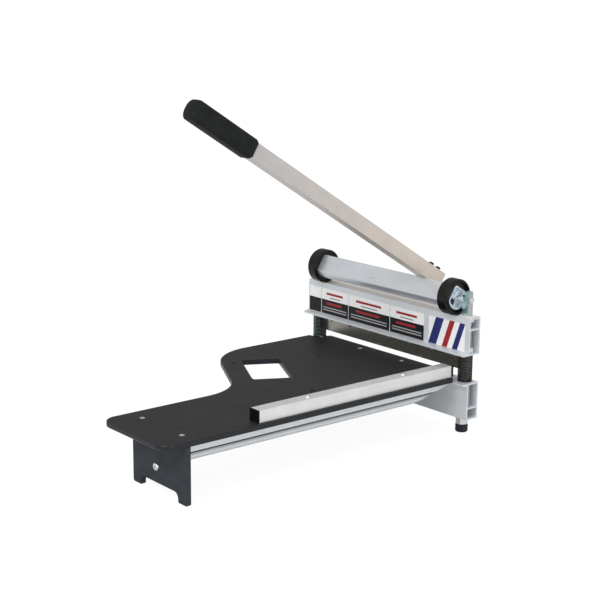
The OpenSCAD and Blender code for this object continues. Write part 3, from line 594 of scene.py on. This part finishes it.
def chamfered_nut(width, height, bore):
    """Hexagon nut standing on the XY plane, its corners turned down and its bore countersunk."""
    corner = width / math.sqrt(3)
    flat = width / 2
    sink = 0.12 * bore
    turned = (corner - flat) * 0.6
    face = flat * 0.97
    slope = (flat + corner) / 2 * 1.01
    return stacked([
        ring(0, bore, sink), ring(0, bore + sink, 0), ring(6, corner, 0, face),
        ring(6, corner, turned * 0.5, slope), ring(6, corner, turned),
        ring(6, corner, height - turned), ring(6, corner, height - turned * 0.5, slope),
        ring(6, corner, height, face), ring(0, bore + sink, height), ring(0, bore, height - sink),
    ], closed=True)


# Node trees

def group(name, **sockets):
    """A geometry node tree with one geometry output, and inputs whose names are given by kind."""
    tree = bpy.data.node_groups.new(name, "GeometryNodeTree")
    tree.interface.new_socket("Geometry", in_out="OUTPUT", socket_type="NodeSocketGeometry")
    for kind, labels in sockets.items():
        for label in labels:
            tree.interface.new_socket(label, in_out="INPUT", socket_type="NodeSocket" + kind)
    return tree, tree.nodes.new("NodeGroupInput").outputs


def close_group(tree, geometry, material):
    """Realizes the instances, sets the material and ends the tree."""
    real = add(tree, "GeometryNodeRealizeInstances", {"Geometry": geometry})
    painted = add(tree, "GeometryNodeSetMaterial", {"Geometry": real.outputs[0], "Material": material})
    add(tree, "NodeGroupOutput", {"Geometry": painted.outputs[0]})
    return tree


def row_tree():
    """Repeats a fastener along a straight line."""
    name = "Fastener Row"
    if name in bpy.data.node_groups:
        return bpy.data.node_groups[name]
    tree, given = group(name, Int=("Count",), Vector=("Start", "Step"), Rotation=("Turn",),
                        Object=("Fastener",), Material=("Finish",))
    line = add(tree, "GeometryNodeMeshLine",
               {"Count": given["Count"], "Start Location": given["Start"], "Offset": given["Step"]})
    source = add(tree, "GeometryNodeObjectInfo", {"Object": given["Fastener"]})
    inputs = {"Points": line.outputs[0], "Instance": source.outputs["Geometry"], "Rotation": given["Turn"]}
    placed = add(tree, "GeometryNodeInstanceOnPoints", inputs)
    return close_group(tree, placed.outputs[0], given["Finish"])


def coil_tree():
    """A compression spring with closed end turns, standing on its base point."""
    name = "Return Coil"
    if name in bpy.data.node_groups:
        return bpy.data.node_groups[name]
    tree, given = group(name, Float=("Height", "Coil Radius", "Wire Radius", "Turns", "Dead Turns"),
                        Int=("Steps", "Sides"), Vector=("Base",), Material=("Finish",))
    plus, minus, times, over, least, most = (
        partial(maths, tree, operation)
        for operation in ("ADD", "SUBTRACT", "MULTIPLY", "DIVIDE", "MINIMUM", "MAXIMUM"))
    steps, dead, turns, wire = given["Steps"], given["Dead Turns"], given["Turns"], given["Wire Radius"]
    line = add(tree, "GeometryNodeMeshLine", {"Count": steps})
    share = over(add(tree, "GeometryNodeInputIndex").outputs[0], minus(steps, 1.0))
    at = times(share, plus(turns, times(dead, 2.0)))
    closed_pitch = times(wire, CLOSED_TURN)
    ends = plus(times(wire, 2.0), times(times(dead, 2.0), closed_pitch))
    pitch = over(minus(given["Height"], ends), turns)
    past = minus(at, dead)
    low = times(least(at, dead), closed_pitch)
    middle_part = times(least(most(past, 0.0), turns), pitch)
    last = times(most(minus(past, turns), 0.0), closed_pitch)
    rise = plus(plus(low, middle_part), plus(last, wire))
    turn = times(at, 2 * math.pi)
    across = times(maths(tree, "COSINE", turn), given["Coil Radius"])
    along = times(maths(tree, "SINE", turn), given["Coil Radius"])
    place = add(tree, "ShaderNodeCombineXYZ", {"X": across, "Y": along, "Z": rise}).outputs[0]
    moved = vectors(tree, "ADD", place, given["Base"])
    wound = add(tree, "GeometryNodeSetPosition", {"Geometry": line.outputs[0], "Position": moved})
    curve = add(tree, "GeometryNodeMeshToCurve", {"Mesh": wound.outputs[0]})
    section = add(tree, "GeometryNodeCurvePrimitiveCircle", {"Resolution": given["Sides"], "Radius": wire})
    tube = add(tree, "GeometryNodeCurveToMesh",
               {"Curve": curve.outputs[0], "Profile Curve": section.outputs["Curve"], "Fill Caps": True})
    smooth = add(tree, "GeometryNodeSetShadeSmooth", {"Geometry": tube.outputs[0]})
    return close_group(tree, smooth.outputs[0], given["Finish"])


def grown(name, tree, values):
    """Runs a node tree with the values given by input name and keeps the result as a plain mesh."""
    host = new_object(name + "_host", bpy.data.meshes.new(name + "_host"))
    modifier = host.modifiers.new("Grow", "NODES")
    modifier.node_group = tree
    for item in tree.interface.items_tree:
        if item.item_type == "SOCKET" and item.in_out == "INPUT":
            modifier[item.identifier] = values[item.name]
    mesh = evaluated_mesh(host)
    if not mesh.polygons:
        raise RuntimeError(f"the tree made nothing for {name}")
    discard(host)
    return new_object(name, mesh)


def fastener_row(node, shape, copies, start, step, turn=(0, 0, 0)):
    """Replaces a node of like fasteners by a row of finer zinc ones, all of one shape."""
    mark_sharp(shape)
    pattern = new_object("pattern", as_mesh("pattern", shape))
    piece = grown("fine_" + node, row_tree(), {
        "Count": copies, "Start": start, "Step": step, "Turn": Euler(turn), "Fastener": pattern,
        "Finish": zinc()})
    discard(pattern)
    return settle(piece, node)


def middle(node):
    low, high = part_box(node)
    return (low + high) / 2


def row_along_x(node, copies, radius):
    """First X and pitch of a row of round pieces that fills its node's box."""
    low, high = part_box(node)
    return low.x + radius, (high.x - low.x - 2 * radius) / (copies - 1)


class LeverFrame:
    """Places given across the lever, along it, and as height over the cam wheels' middle."""

    def __init__(self):
        wheel = middle("near_cam_wheel")
        angle = sizes().lever_angle
        self.origin = Vector((middle("handle_tube").x, wheel.y, wheel.z))
        self.along = Vector((0, -math.cos(angle), math.sin(angle)))
        self.up = Vector((0, math.sin(angle), math.cos(angle)))

    def point(self, across, reach, lift):
        return self.origin + Vector((across, 0, 0)) + self.along * reach + self.up * lift

    def read(self, place):
        """Distance along and height of a place in the frame."""
        offset = place - self.origin
        return offset.dot(self.along), offset.dot(self.up)

    def span(self, node):
        """Lowest and highest distance along, and height, of a node's vertices."""
        values = [self.read(v.co) for v in frame["nodes"][node].data.vertices]
        return [f(v[k] for v in values) for k in (0, 1) for f in (min, max)]


# Pieces

class SHEAR_OT_beams(Operator):
    """Dress both box beams, the guide bushes and the spring seats."""
    bl_idname = "shear.beams"
    bl_label = "Box beams"

    def execute(self, context):
        dress("lower_beam", beam_metal(), "beam")
        upper = dress("upper_beam", beam_metal(), "beam")
        # Painted light: a lighter, warmer copy of the aluminium on the upper beam's top faces
        painted_warm_light = drawn_metal("beam_top", colours().beam_top, along=0, metallic=0.25)
        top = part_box("upper_beam")[1].z - MM
        refinish(upper, painted_warm_light, lambda face: face.normal.z > FLAT and face.center.z > top)
        for end in ENDS:
            dress(end + "_guide_bushes", slick_plastic("slick_plastic", colours().slick))
        for node in ("lower_spring_seats", "upper_spring_seats"):
            dress(node, black_steel())
        return {"FINISHED"}


class SHEAR_OT_table(Operator):
    """Dress the table board, the leg and its block."""
    bl_idname = "shear.table"
    bl_label = "Table and leg"

    def execute(self, context):
        top = moulded_black("board_plastic", colours().board, roughness=0.5, shine=0.2)
        # Painted shade: the board's side faces take a darker, bluer copy of its black plastic
        rim = moulded_black("rim_plastic", colours().rim, roughness=0.4, pore=1.2, depth=0.02)
        # Painted shade: the board's rounded edges are near black, glossier than its top
        edge = moulded_black("edge_plastic", colours().edge, roughness=0.2, pore=1.2, depth=0.01, shine=0.5)
        side = moulded_black("leg_plastic", colours().leg, pore=1.2, depth=0.04, shine=0.2)
        upright = 0.15
        board = dress("table_board", top, "board", segments=3)
        refinish(board, rim, lambda face: abs(face.normal.z) < FLAT)
        refinish(board, edge, lambda face: upright < abs(face.normal.z) < FLAT)
        dress("table_leg", side, "leg", segments=3)
        dress("leg_block", side)
        return {"FINISHED"}


class SHEAR_OT_rails(Operator):
    """Dress the grooved rail, the fence tube and its two caps."""
    bl_idname = "shear.rails"
    bl_label = "Rail and fence"

    def execute(self, context):
        low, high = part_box("table_rail")
        bar = (high.x - low.x) / 2
        # Painted shade: the rail darkens just under its flat band, fading out at the middle of its round bar
        dress("table_rail", drawn_metal("rail_aluminium", colours().beam, along=1, roughness=0.3,
                                        metallic=0.75, shade=(low.z + 2 * bar, bar)))
        dress("fence_tube", drawn_metal("fence_aluminium", colours().fence, along=1, roughness=0.4))
        cap = moulded_black("cap_plastic", colours().nylon, roughness=0.4, pore=1.5, depth=0.02, shine=0.12)
        for node in ("fence_outer_cap", "fence_inner_cap"):
            dress(node, cap, "beam")
        return {"FINISHED"}


class SHEAR_OT_posts(Operator):
    """Dress the guide posts and the rubber feet."""
    bl_idname = "shear.posts"
    bl_label = "Posts and feet"

    def execute(self, context):
        for end in ENDS:
            post = dress(end + "_guide_post", plated("post_zinc", colours().post, 0.36), tight=True)
            # Painted shade: a greyer copy of the zinc on the posts' outer sides
            side = plated("post_side", colours().post_side, 0.36)
            refinish(post, side, lambda face: abs(face.normal.x) > 0.7)
            dress(end + "_foot_cap", soft_rubber("foot_rubber", colours().foot), "beam")
        return {"FINISHED"}


class SHEAR_OT_springs(Operator):
    """Wind the two return springs between their seats."""
    bl_idname = "shear.springs"
    bl_label = "Return springs"
    fineness: count("Steps a turn", "Steps of the wire in one turn", 30)
    sides: count("Wire sides", "Sides of the wire's section", 12)

    def execute(self, context):
        given = sizes()
        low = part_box("lower_spring_seats")[1].z
        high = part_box("upper_spring_seats")[0].z
        turns = given.active_turns + 2 * given.dead_turns
        for end in ENDS:
            base = Vector((middle(end + "_guide_post").x, middle("lower_spring_seats").y, low))
            # The far spring's blacker wire colour is painted shade
            spring = grown("fine_" + end + "_spring", coil_tree(), {
                "Base": base, "Height": high - low, "Coil Radius": given.coil_radius,
                "Wire Radius": given.wire_radius, "Turns": given.active_turns,
                "Dead Turns": given.dead_turns, "Steps": round(turns * self.fineness), "Sides": self.sides,
                "Finish": oiled_wire(end + "_wire", getattr(colours(), end + "_wire"))})
            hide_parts(end + "_return_spring")
            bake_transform(spring)
        return {"FINISHED"}


class SHEAR_OT_blade(Operator):
    """Dress the blade, with its screws and nuts."""
    bl_idname = "shear.blade"
    bl_label = "Blade"
    screws: count("Screws", "Screws along the blade", 7)

    def execute(self, context):
        given = fasteners()
        dress("blade", ground_steel("blade_steel", colours().blade))
        first, pitch = row_along_x("blade_screws", self.screws, given.blade_head)
        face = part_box("blade")[0].y
        z = middle("blade_screws").z
        low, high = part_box("blade_screws")
        screw = socket_screw(given.blade_shank, high.y - face, given.blade_head, face - low.y,
                             given.blade_socket)
        fastener_row("blade_screws", screw, self.screws, (first, face, z), (pitch, 0, 0), FRONT)
        low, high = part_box("blade_nuts")
        nut = chamfered_nut(given.blade_nut, high.y - low.y, given.blade_nut_bore)
        fastener_row("blade_nuts", nut, self.screws, (first, high.y, z), (pitch, 0, 0), FRONT)
        return {"FINISHED"}


class SHEAR_OT_screws(Operator):
    """Set the screws that hold the board, the fence and the leg."""
    bl_idname = "shear.screws"
    bl_label = "Screws"
    board_screws: count("Board screws", "Screws from the board into the beam", 4)

    def execute(self, context):
        given = fasteners()
        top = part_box("table_board")[1].z
        for node, screws, shank in (("beam_board_screws", self.board_screws, given.board_shank),
                                    ("leg_end_screws", 2, given.leg_end_shank)):
            low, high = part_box(node)
            screw = socket_screw(shank, high.z - low.z, given.sunk_head, given.sunk_depth, given.sunk_socket,
                                 countersunk=True)
            first, pitch = row_along_x(node, screws, given.sunk_head)
            fastener_row(node, screw, screws, (first, middle(node).y, top), (pitch, 0, 0))
        low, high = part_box("fence_screws")
        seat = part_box("fence_tube")[1].z
        head = (high.x - low.x) / 2
        screw = socket_screw(given.fence_shank, seat - low.z, head, high.z - seat, given.fence_socket)
        start = (middle("fence_screws").x, low.y + head, seat)
        fastener_row("fence_screws", screw, 2, start, (0, high.y - low.y - 2 * head, 0))
        low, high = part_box("leg_screw")
        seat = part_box("table_leg")[0].y
        centre = middle("leg_screw")
        screw = socket_screw(given.leg_shank, high.y - seat, (high.x - low.x) / 2, seat - low.y,
                             given.leg_socket)
        fastener_row("leg_screw", screw, 1, (centre.x, seat, centre.z), (0, 0, 0), FRONT)
        return {"FINISHED"}


class SHEAR_OT_feet_hardware(Operator):
    """Set the studs and nuts of the feet and the screws under the posts."""
    bl_idname = "shear.feet_hardware"
    bl_label = "Feet and post hardware"

    def execute(self, context):
        dress("foot_studs", zinc())
        dress("post_screws", zinc())
        given = fasteners()
        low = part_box("foot_nuts")[0]
        near, far = (middle(end + "_foot_cap").x for end in ENDS)
        nut = chamfered_nut(given.foot_nut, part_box("lower_beam")[0].z - low.z, given.foot_nut_bore)
        start = (near, middle("foot_nuts").y, low.z)
        fastener_row("foot_nuts", nut, 2, start, (far - near, 0, 0))
        return {"FINISHED"}


class SHEAR_OT_cam(Operator):
    """Dress the cam tube, its wheels and end plugs."""
    bl_idname = "shear.cam"
    bl_label = "Cam"

    def execute(self, context):
        dress("cam_tube", drawn_metal("cam_aluminium", colours().beam, along=0, roughness=0.32, lines=1.2,
                                      depth=0.01))
        nylon = turned_nylon("wheel_nylon", colours().nylon, middle("near_cam_wheel"))
        plug = plated("plug_metal", colours().plug, 0.42)
        for end in ENDS:
            dress(end + "_cam_wheel", nylon, "wheel", segments=3, tight=True)
            dress(end + "_cam_plug", plug, tight=True)
        return {"FINISHED"}


class SHEAR_OT_pivots(Operator):
    """Dress the pivot pins, nuts and washers."""
    bl_idname = "shear.pivots"
    bl_label = "Pivots"

    def execute(self, context):
        for end in ENDS:
            dress(end + "_pivot_pin", zinc())
        dress("pivot_washers", zinc())
        given = fasteners()
        low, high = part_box("pivot_nuts")
        depth = given.pivot_nut
        nut = chamfered_nut(high.y - low.y, depth, given.pivot_nut_bore)
        start = (low.x, middle("pivot_nuts").y, middle("pivot_nuts").z)
        fastener_row("pivot_nuts", nut, 2, start, (high.x - low.x - depth, 0, 0), ALONG_X)
        return {"FINISHED"}


def rounded_square(half, corner, points=64, straight=0.22):
    """Points of a square with round corners, as (across, up); each side's ends take two straight shares."""
    corner = min(corner, half * 0.999)
    inner = half - corner
    right = math.pi / 2
    outline = []
    for step in range(points):
        turn = 2 * math.pi * (step + 0.5) / points
        quarter = math.floor(turn / right)
        share = (turn - quarter * right) / right
        bend = (quarter + min(max((share - straight) / (1 - 2 * straight), 0), 1)) * right
        slide = (share - min(max(share, straight), 1 - straight)) / straight * inner
        diagonal = (quarter + 0.5) * right
        x = corner * math.cos(bend) - slide * math.sin(bend)
        y = corner * math.sin(bend) + slide * math.cos(bend)
        x += math.copysign(inner, math.cos(diagonal))
        y += math.copysign(inner, math.sin(diagonal))
        outline.append((x, y))
    return outline


class SHEAR_OT_lever(Operator):
    """Build the lever tube, its rubber grip and its bolts."""
    bl_idname = "shear.lever"
    bl_label = "Lever"
    steps: count("Grip steps", "Rings of the grip's inner end", 8)

    def grip(self):
        """A rounded square drawn along the lever, tucked in at the tube and rounded over at its nose."""
        given = sizes()
        lever = LeverFrame()
        near, far, low, high = lever.span("handle_grip")
        half = (high - low) / 2
        lift = (high + low) / 2
        tube_low, tube_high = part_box("handle_tube")
        tube = (tube_high.x - tube_low.x) / 2
        mouth, nose, corner = given.grip_mouth, given.grip_nose, given.grip_corner
        bite, lip = 0.2 * MM, 0.3 * MM
        sections = [(near + given.grip_tuck, tube - bite, 1.5 * MM), (near, tube + lip, 2 * MM)]
        for step in range(self.steps + 1):
            bend = math.pi / 2 * step / self.steps
            size = half - mouth * (1 - math.sin(bend))
            sections.append((near + mouth * (1 - math.cos(bend)), size, corner * size / half))
        for step in range(2 * self.steps + 1):
            bend = math.pi / 4 * step / self.steps
            size = half - nose * (1 - math.cos(bend))
            round_off = min(corner + given.grip_nose_corner * math.sin(bend), size)
            sections.append((far - nose * (1 - math.sin(bend)), size, round_off))
        shape = stacked([[lever.point(a, reach, lift + b) for a, b in rounded_square(size, round_off)]
                         for reach, size, round_off in sections])
        mark_sharp(shape, math.radians(50))
        rubber = soft_rubber("grip_rubber", colours().rubber, (-given.lever_angle, 0, 0))
        settle(new_object("fine_handle_grip", as_mesh("fine_handle_grip", shape), rubber), "handle_grip")

    def execute(self, context):
        dress("handle_tube", lever_metal(), "lever", segments=3)
        dress("handle_bolt_plate", zinc())
        lever = LeverFrame()
        bolts = dress("handle_bolts", black_steel())
        seat = lever.span("handle_bolts")[3] - fasteners().lever_head
        refinish(bolts, zinc(), lambda face: lever.read(face.center)[1] < seat)
        self.grip()
        return {"FINISHED"}


# Starts and ends of the panels, as shares of the stretch that ends at PANELS_END of the row's length
PANELS = ((0.0, 0.108), (0.115, 0.357), (0.363, 0.718), (0.725, 1.0))
PANELS_END = 0.7585
# The striped panel starts at this share of the row's length
STRIPED_START = 0.788
# A panel is dark up to this share of its height
DARK_TOP = 0.56
# Start, end, bottom and top of the bars, as shares of a wide panel, with their ink and layers
BARS = ((0.18, 0.76, 0.37, 0.46, "red", 2), (0.06, 0.94, 0.13, 0.17, "grey", 2),
        (0.06, 0.94, 0.23, 0.27, "grey", 2), (0.18, 0.80, 0.76, 0.85, "red", 1),
        (0.30, 0.70, 0.64, 0.67, "black", 1))
# Start, end and ink of the stripes at their foot; each leans over by SLANT
STRIPES = ((0.0, 0.22, "blue"), (0.38, 0.52, "red"), (0.66, 0.80, "blue"))
SLANT = 0.2


class SHEAR_OT_panels(Operator):
    """Lay the printed panels on the front of the upper beam, in plain blocks of colour."""
    bl_idname = "shear.panels"
    bl_label = "Front panels"
    layer: millimetres("Layer", "Thickness of one layer of ink", 0.03)
    wide: millimetres("Wide panel", "Length from which a panel carries bars", 50)

    def execute(self, context):
        low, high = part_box("front_panels")
        names = ("white", "black", "red", "blue", "grey")
        inks = [printed_film("film_" + name, getattr(colours(), "film_" + name)) for name in names]
        shape = bmesh.new()
        tall = high.z - low.z
        length = high.x - low.x

        def plate(outline, ink, layers=0):
            """A thin plate over an outline of (x, share of the height), standing so many layers proud."""
            places = [(x, low.z + tall * share) for x, share in outline]
            face = [shape.verts.new((x, low.y - layers * self.layer, z)) for x, z in places]
            back = [shape.verts.new((x, high.y, z)) for x, z in places]
            faces = [shape.faces.new(face), shape.faces.new(back[::-1])]
            for k in range(len(outline)):
                faces.append(shape.faces.new((face[k], face[k - 1], back[k - 1], back[k])))
            for made in faces:
                made.material_index = names.index(ink)

        def block(x0, x1, bottom, top, ink, layers=0):
            plate([(x0, bottom), (x1, bottom), (x1, top), (x0, top)], ink, layers)

        for start, stop in PANELS:
            x0, x1 = (low.x + length * PANELS_END * share for share in (start, stop))
            block(x0, x1, 0.0, 1.0, "white")
            block(x0, x1, 0.0, DARK_TOP, "black", 1)
            run = x1 - x0
            if run > self.wide:
                for first, last, bottom, top, ink, layers in BARS:
                    block(x0 + run * first, x0 + run * last, bottom, top, ink, layers)
        x0 = low.x + length * STRIPED_START
        run = high.x - x0
        block(x0, high.x, 0.0, 1.0, "white")
        for first, last, ink in STRIPES:
            left, right = x0 + run * first, x0 + run * last
            plate([(left, 0.0), (right, 0.0), (right + run * SLANT, 1.0), (left + run * SLANT, 1.0)], ink, 1)
        bmesh.ops.recalc_face_normals(shape, faces=shape.faces)
        settle(new_object("fine_front_panels", as_mesh("fine_front_panels", shape), *inks), "front_panels")
        return {"FINISHED"}


class SHEAR_OT_stage(Operator):
    """Set the camera, the pale floor and the studio light."""
    bl_idname = "shear.stage"
    bl_label = "Stage"
    azimuth: degrees("Azimuth", "Camera's turn round the part", 50.37)
    elevation: degrees("Elevation", "Camera's height over the level", 12.68)
    roll: degrees("Roll", "Camera's lean", 0.49)
    picture: count("Picture", "Width of the picture in pixels", 600)
    focal_pixels: number("Focal length", "Focal length in pixels of that picture", 1346.5)
    room_front: number("Room in front", "Level of the room that shines on the sides towards the camera", 1.0)
    room_back: number("Room behind", "Level of the room beyond the part, as reflections see it", 0.35)
    room_light: number("Room light", "Level of the room's soft light", 0.8)
    floor_glow: number("Floor glow", "Own light of the floor in the picture", 1.1)
    place: FloatVectorProperty(name="Place", default=(1.7202, -1.3403, 0.7291), subtype="TRANSLATION",
                               description="Camera's place")

    def camera(self, context):
        data = bpy.data.cameras.new("photo_camera")
        data.sensor_width = 36
        data.lens = self.focal_pixels * data.sensor_width / self.picture
        data.clip_end = 100
        a, e, r = self.azimuth, self.elevation, self.roll
        back = Vector((math.sin(a) * math.cos(e), -math.cos(a) * math.cos(e), math.sin(e)))
        level = Vector((math.cos(a), math.sin(a), 0))
        upright = back.cross(level)
        right = level * math.cos(r) + upright * math.sin(r)
        up = upright * math.cos(r) - level * math.sin(r)
        camera = linked("photo_camera", data)
        turn = Matrix((right, up, back)).transposed().to_4x4()
        camera.matrix_world = Matrix.Translation(self.place) @ turn
        context.scene.camera = camera

    def world(self, context):
        """White behind the part; a soft room, darker beyond the part, for light and reflections."""
        world = bpy.data.worlds.new("studio")
        world.use_nodes = True
        context.scene.world = world
        tree = world.node_tree
        tree.nodes.clear()
        path = add(tree, "ShaderNodeLightPath")
        way = add(tree, "ShaderNodeTexCoord").outputs["Generated"]
        lean = 0.35
        front = Vector((math.sin(self.azimuth), -math.cos(self.azimuth), lean)).normalized()
        facing = add(tree, "ShaderNodeVectorMath", {0: way, 1: front}, operation="DOT_PRODUCT").outputs[1]
        level = spread(tree, facing, self.room_back, self.room_front, start=-0.7, end=0.8)
        room, light, white = (
            add(tree, "ShaderNodeBackground", {"Color": (1, 1, 1, 1), "Strength": strength}).outputs[0]
            for strength in (level, self.room_light, 1.0))
        lit = add(tree, "ShaderNodeMixShader", {0: path.outputs["Is Glossy Ray"], 1: light, 2: room})
        inputs = {0: path.outputs["Is Camera Ray"], 1: lit.outputs[0], 2: white}
        seen = add(tree, "ShaderNodeMixShader", inputs)
        add(tree, "ShaderNodeOutputWorld", {"Surface": seen.outputs[0]})

    def floor(self):
        """A pale floor that keeps the shadow and otherwise shines white into the picture."""
        shape = bmesh.new()
        bmesh.ops.create_grid(shape, x_segments=1, y_segments=1, size=30)
        material = bpy.data.materials.new("floor_white")
        material.use_nodes = True
        tree = material.node_tree
        tree.nodes.clear()
        path = add(tree, "ShaderNodeLightPath")
        diffuse = add(tree, "ShaderNodeBsdfDiffuse", {"Color": (0.8, 0.8, 0.8, 1)})
        glow = add(tree, "ShaderNodeEmission", {"Color": (1, 1, 1, 1), "Strength": self.floor_glow})
        in_picture, in_mirrors = (maths(tree, "MULTIPLY", path.outputs[ray], share)
                                  for ray, share in (("Is Camera Ray", 0.85), ("Is Glossy Ray", 0.12)))
        share = maths(tree, "MAXIMUM", in_picture, in_mirrors)
        mixed = add(tree, "ShaderNodeMixShader", {0: share, 1: diffuse.outputs[0], 2: glow.outputs[0]})
        add(tree, "ShaderNodeOutputMaterial", {"Surface": mixed.outputs[0]})
        new_object("floor", as_mesh("floor", shape), material)

    def lamp(self, name, place, size, power, aim):
        data = bpy.data.lights.new(name, "AREA")
        data.size = size
        data.energy = power
        turn = (Vector(aim) - Vector(place)).to_track_quat("-Z", "Y").to_matrix().to_4x4()
        linked(name, data).matrix_world = Matrix.Translation(place) @ turn

    def execute(self, context):
        self.camera(context)
        self.world(context)
        self.floor()
        self.lamp("key", place=(0.9, -2.2, 2.2), size=1.2, power=26, aim=(0.0, 0.0, 0.15))
        self.lamp("side", place=(2.4, -0.5, 0.45), size=1.2, power=9, aim=(0.2, 0.0, 0.2))
        context.scene.view_settings.view_transform = "Standard"
        return {"FINISHED"}


SETTINGS = {"shear_sizes": ShearSizes, "shear_fasteners": ShearFasteners, "shear_colours": ShearColours}
OPERATORS = (SHEAR_OT_beams, SHEAR_OT_table, SHEAR_OT_rails, SHEAR_OT_posts, SHEAR_OT_springs, SHEAR_OT_blade,
             SHEAR_OT_screws, SHEAR_OT_feet_hardware, SHEAR_OT_cam, SHEAR_OT_pivots, SHEAR_OT_lever,
             SHEAR_OT_panels, SHEAR_OT_stage)


class SHEAR_PT_workshop(Panel):
    """Lists the shear's sizes, colours and pieces."""
    bl_label = "Flooring Shear"
    bl_idname = "SHEAR_PT_workshop"
    bl_space_type = "VIEW_3D"
    bl_region_type = "UI"
    bl_category = "Shear"

    def draw(self, context):
        layout = self.layout
        for name in SETTINGS:
            settings = getattr(context.scene, name)
            box = layout.box()
            for setting in settings.__annotations__:
                box.prop(settings, setting)
        for operator in OPERATORS:
            layout.operator(operator.bl_idname)


CLASSES = (*SETTINGS.values(), *OPERATORS, SHEAR_PT_workshop)


def register():
    for cls in CLASSES:
        bpy.utils.register_class(cls)
    for name, kind in SETTINGS.items():
        setattr(bpy.types.Scene, name, PointerProperty(type=kind))


def unregister():
    for name in SETTINGS:
        delattr(bpy.types.Scene, name)
    for cls in reversed(CLASSES):
        bpy.utils.unregister_class(cls)


def main():
    register()
    for operator in OPERATORS:
        group_name, name = operator.bl_idname.split(".")
        getattr(getattr(bpy.ops, group_name), name)()


if __name__ == "__main__":
    main()
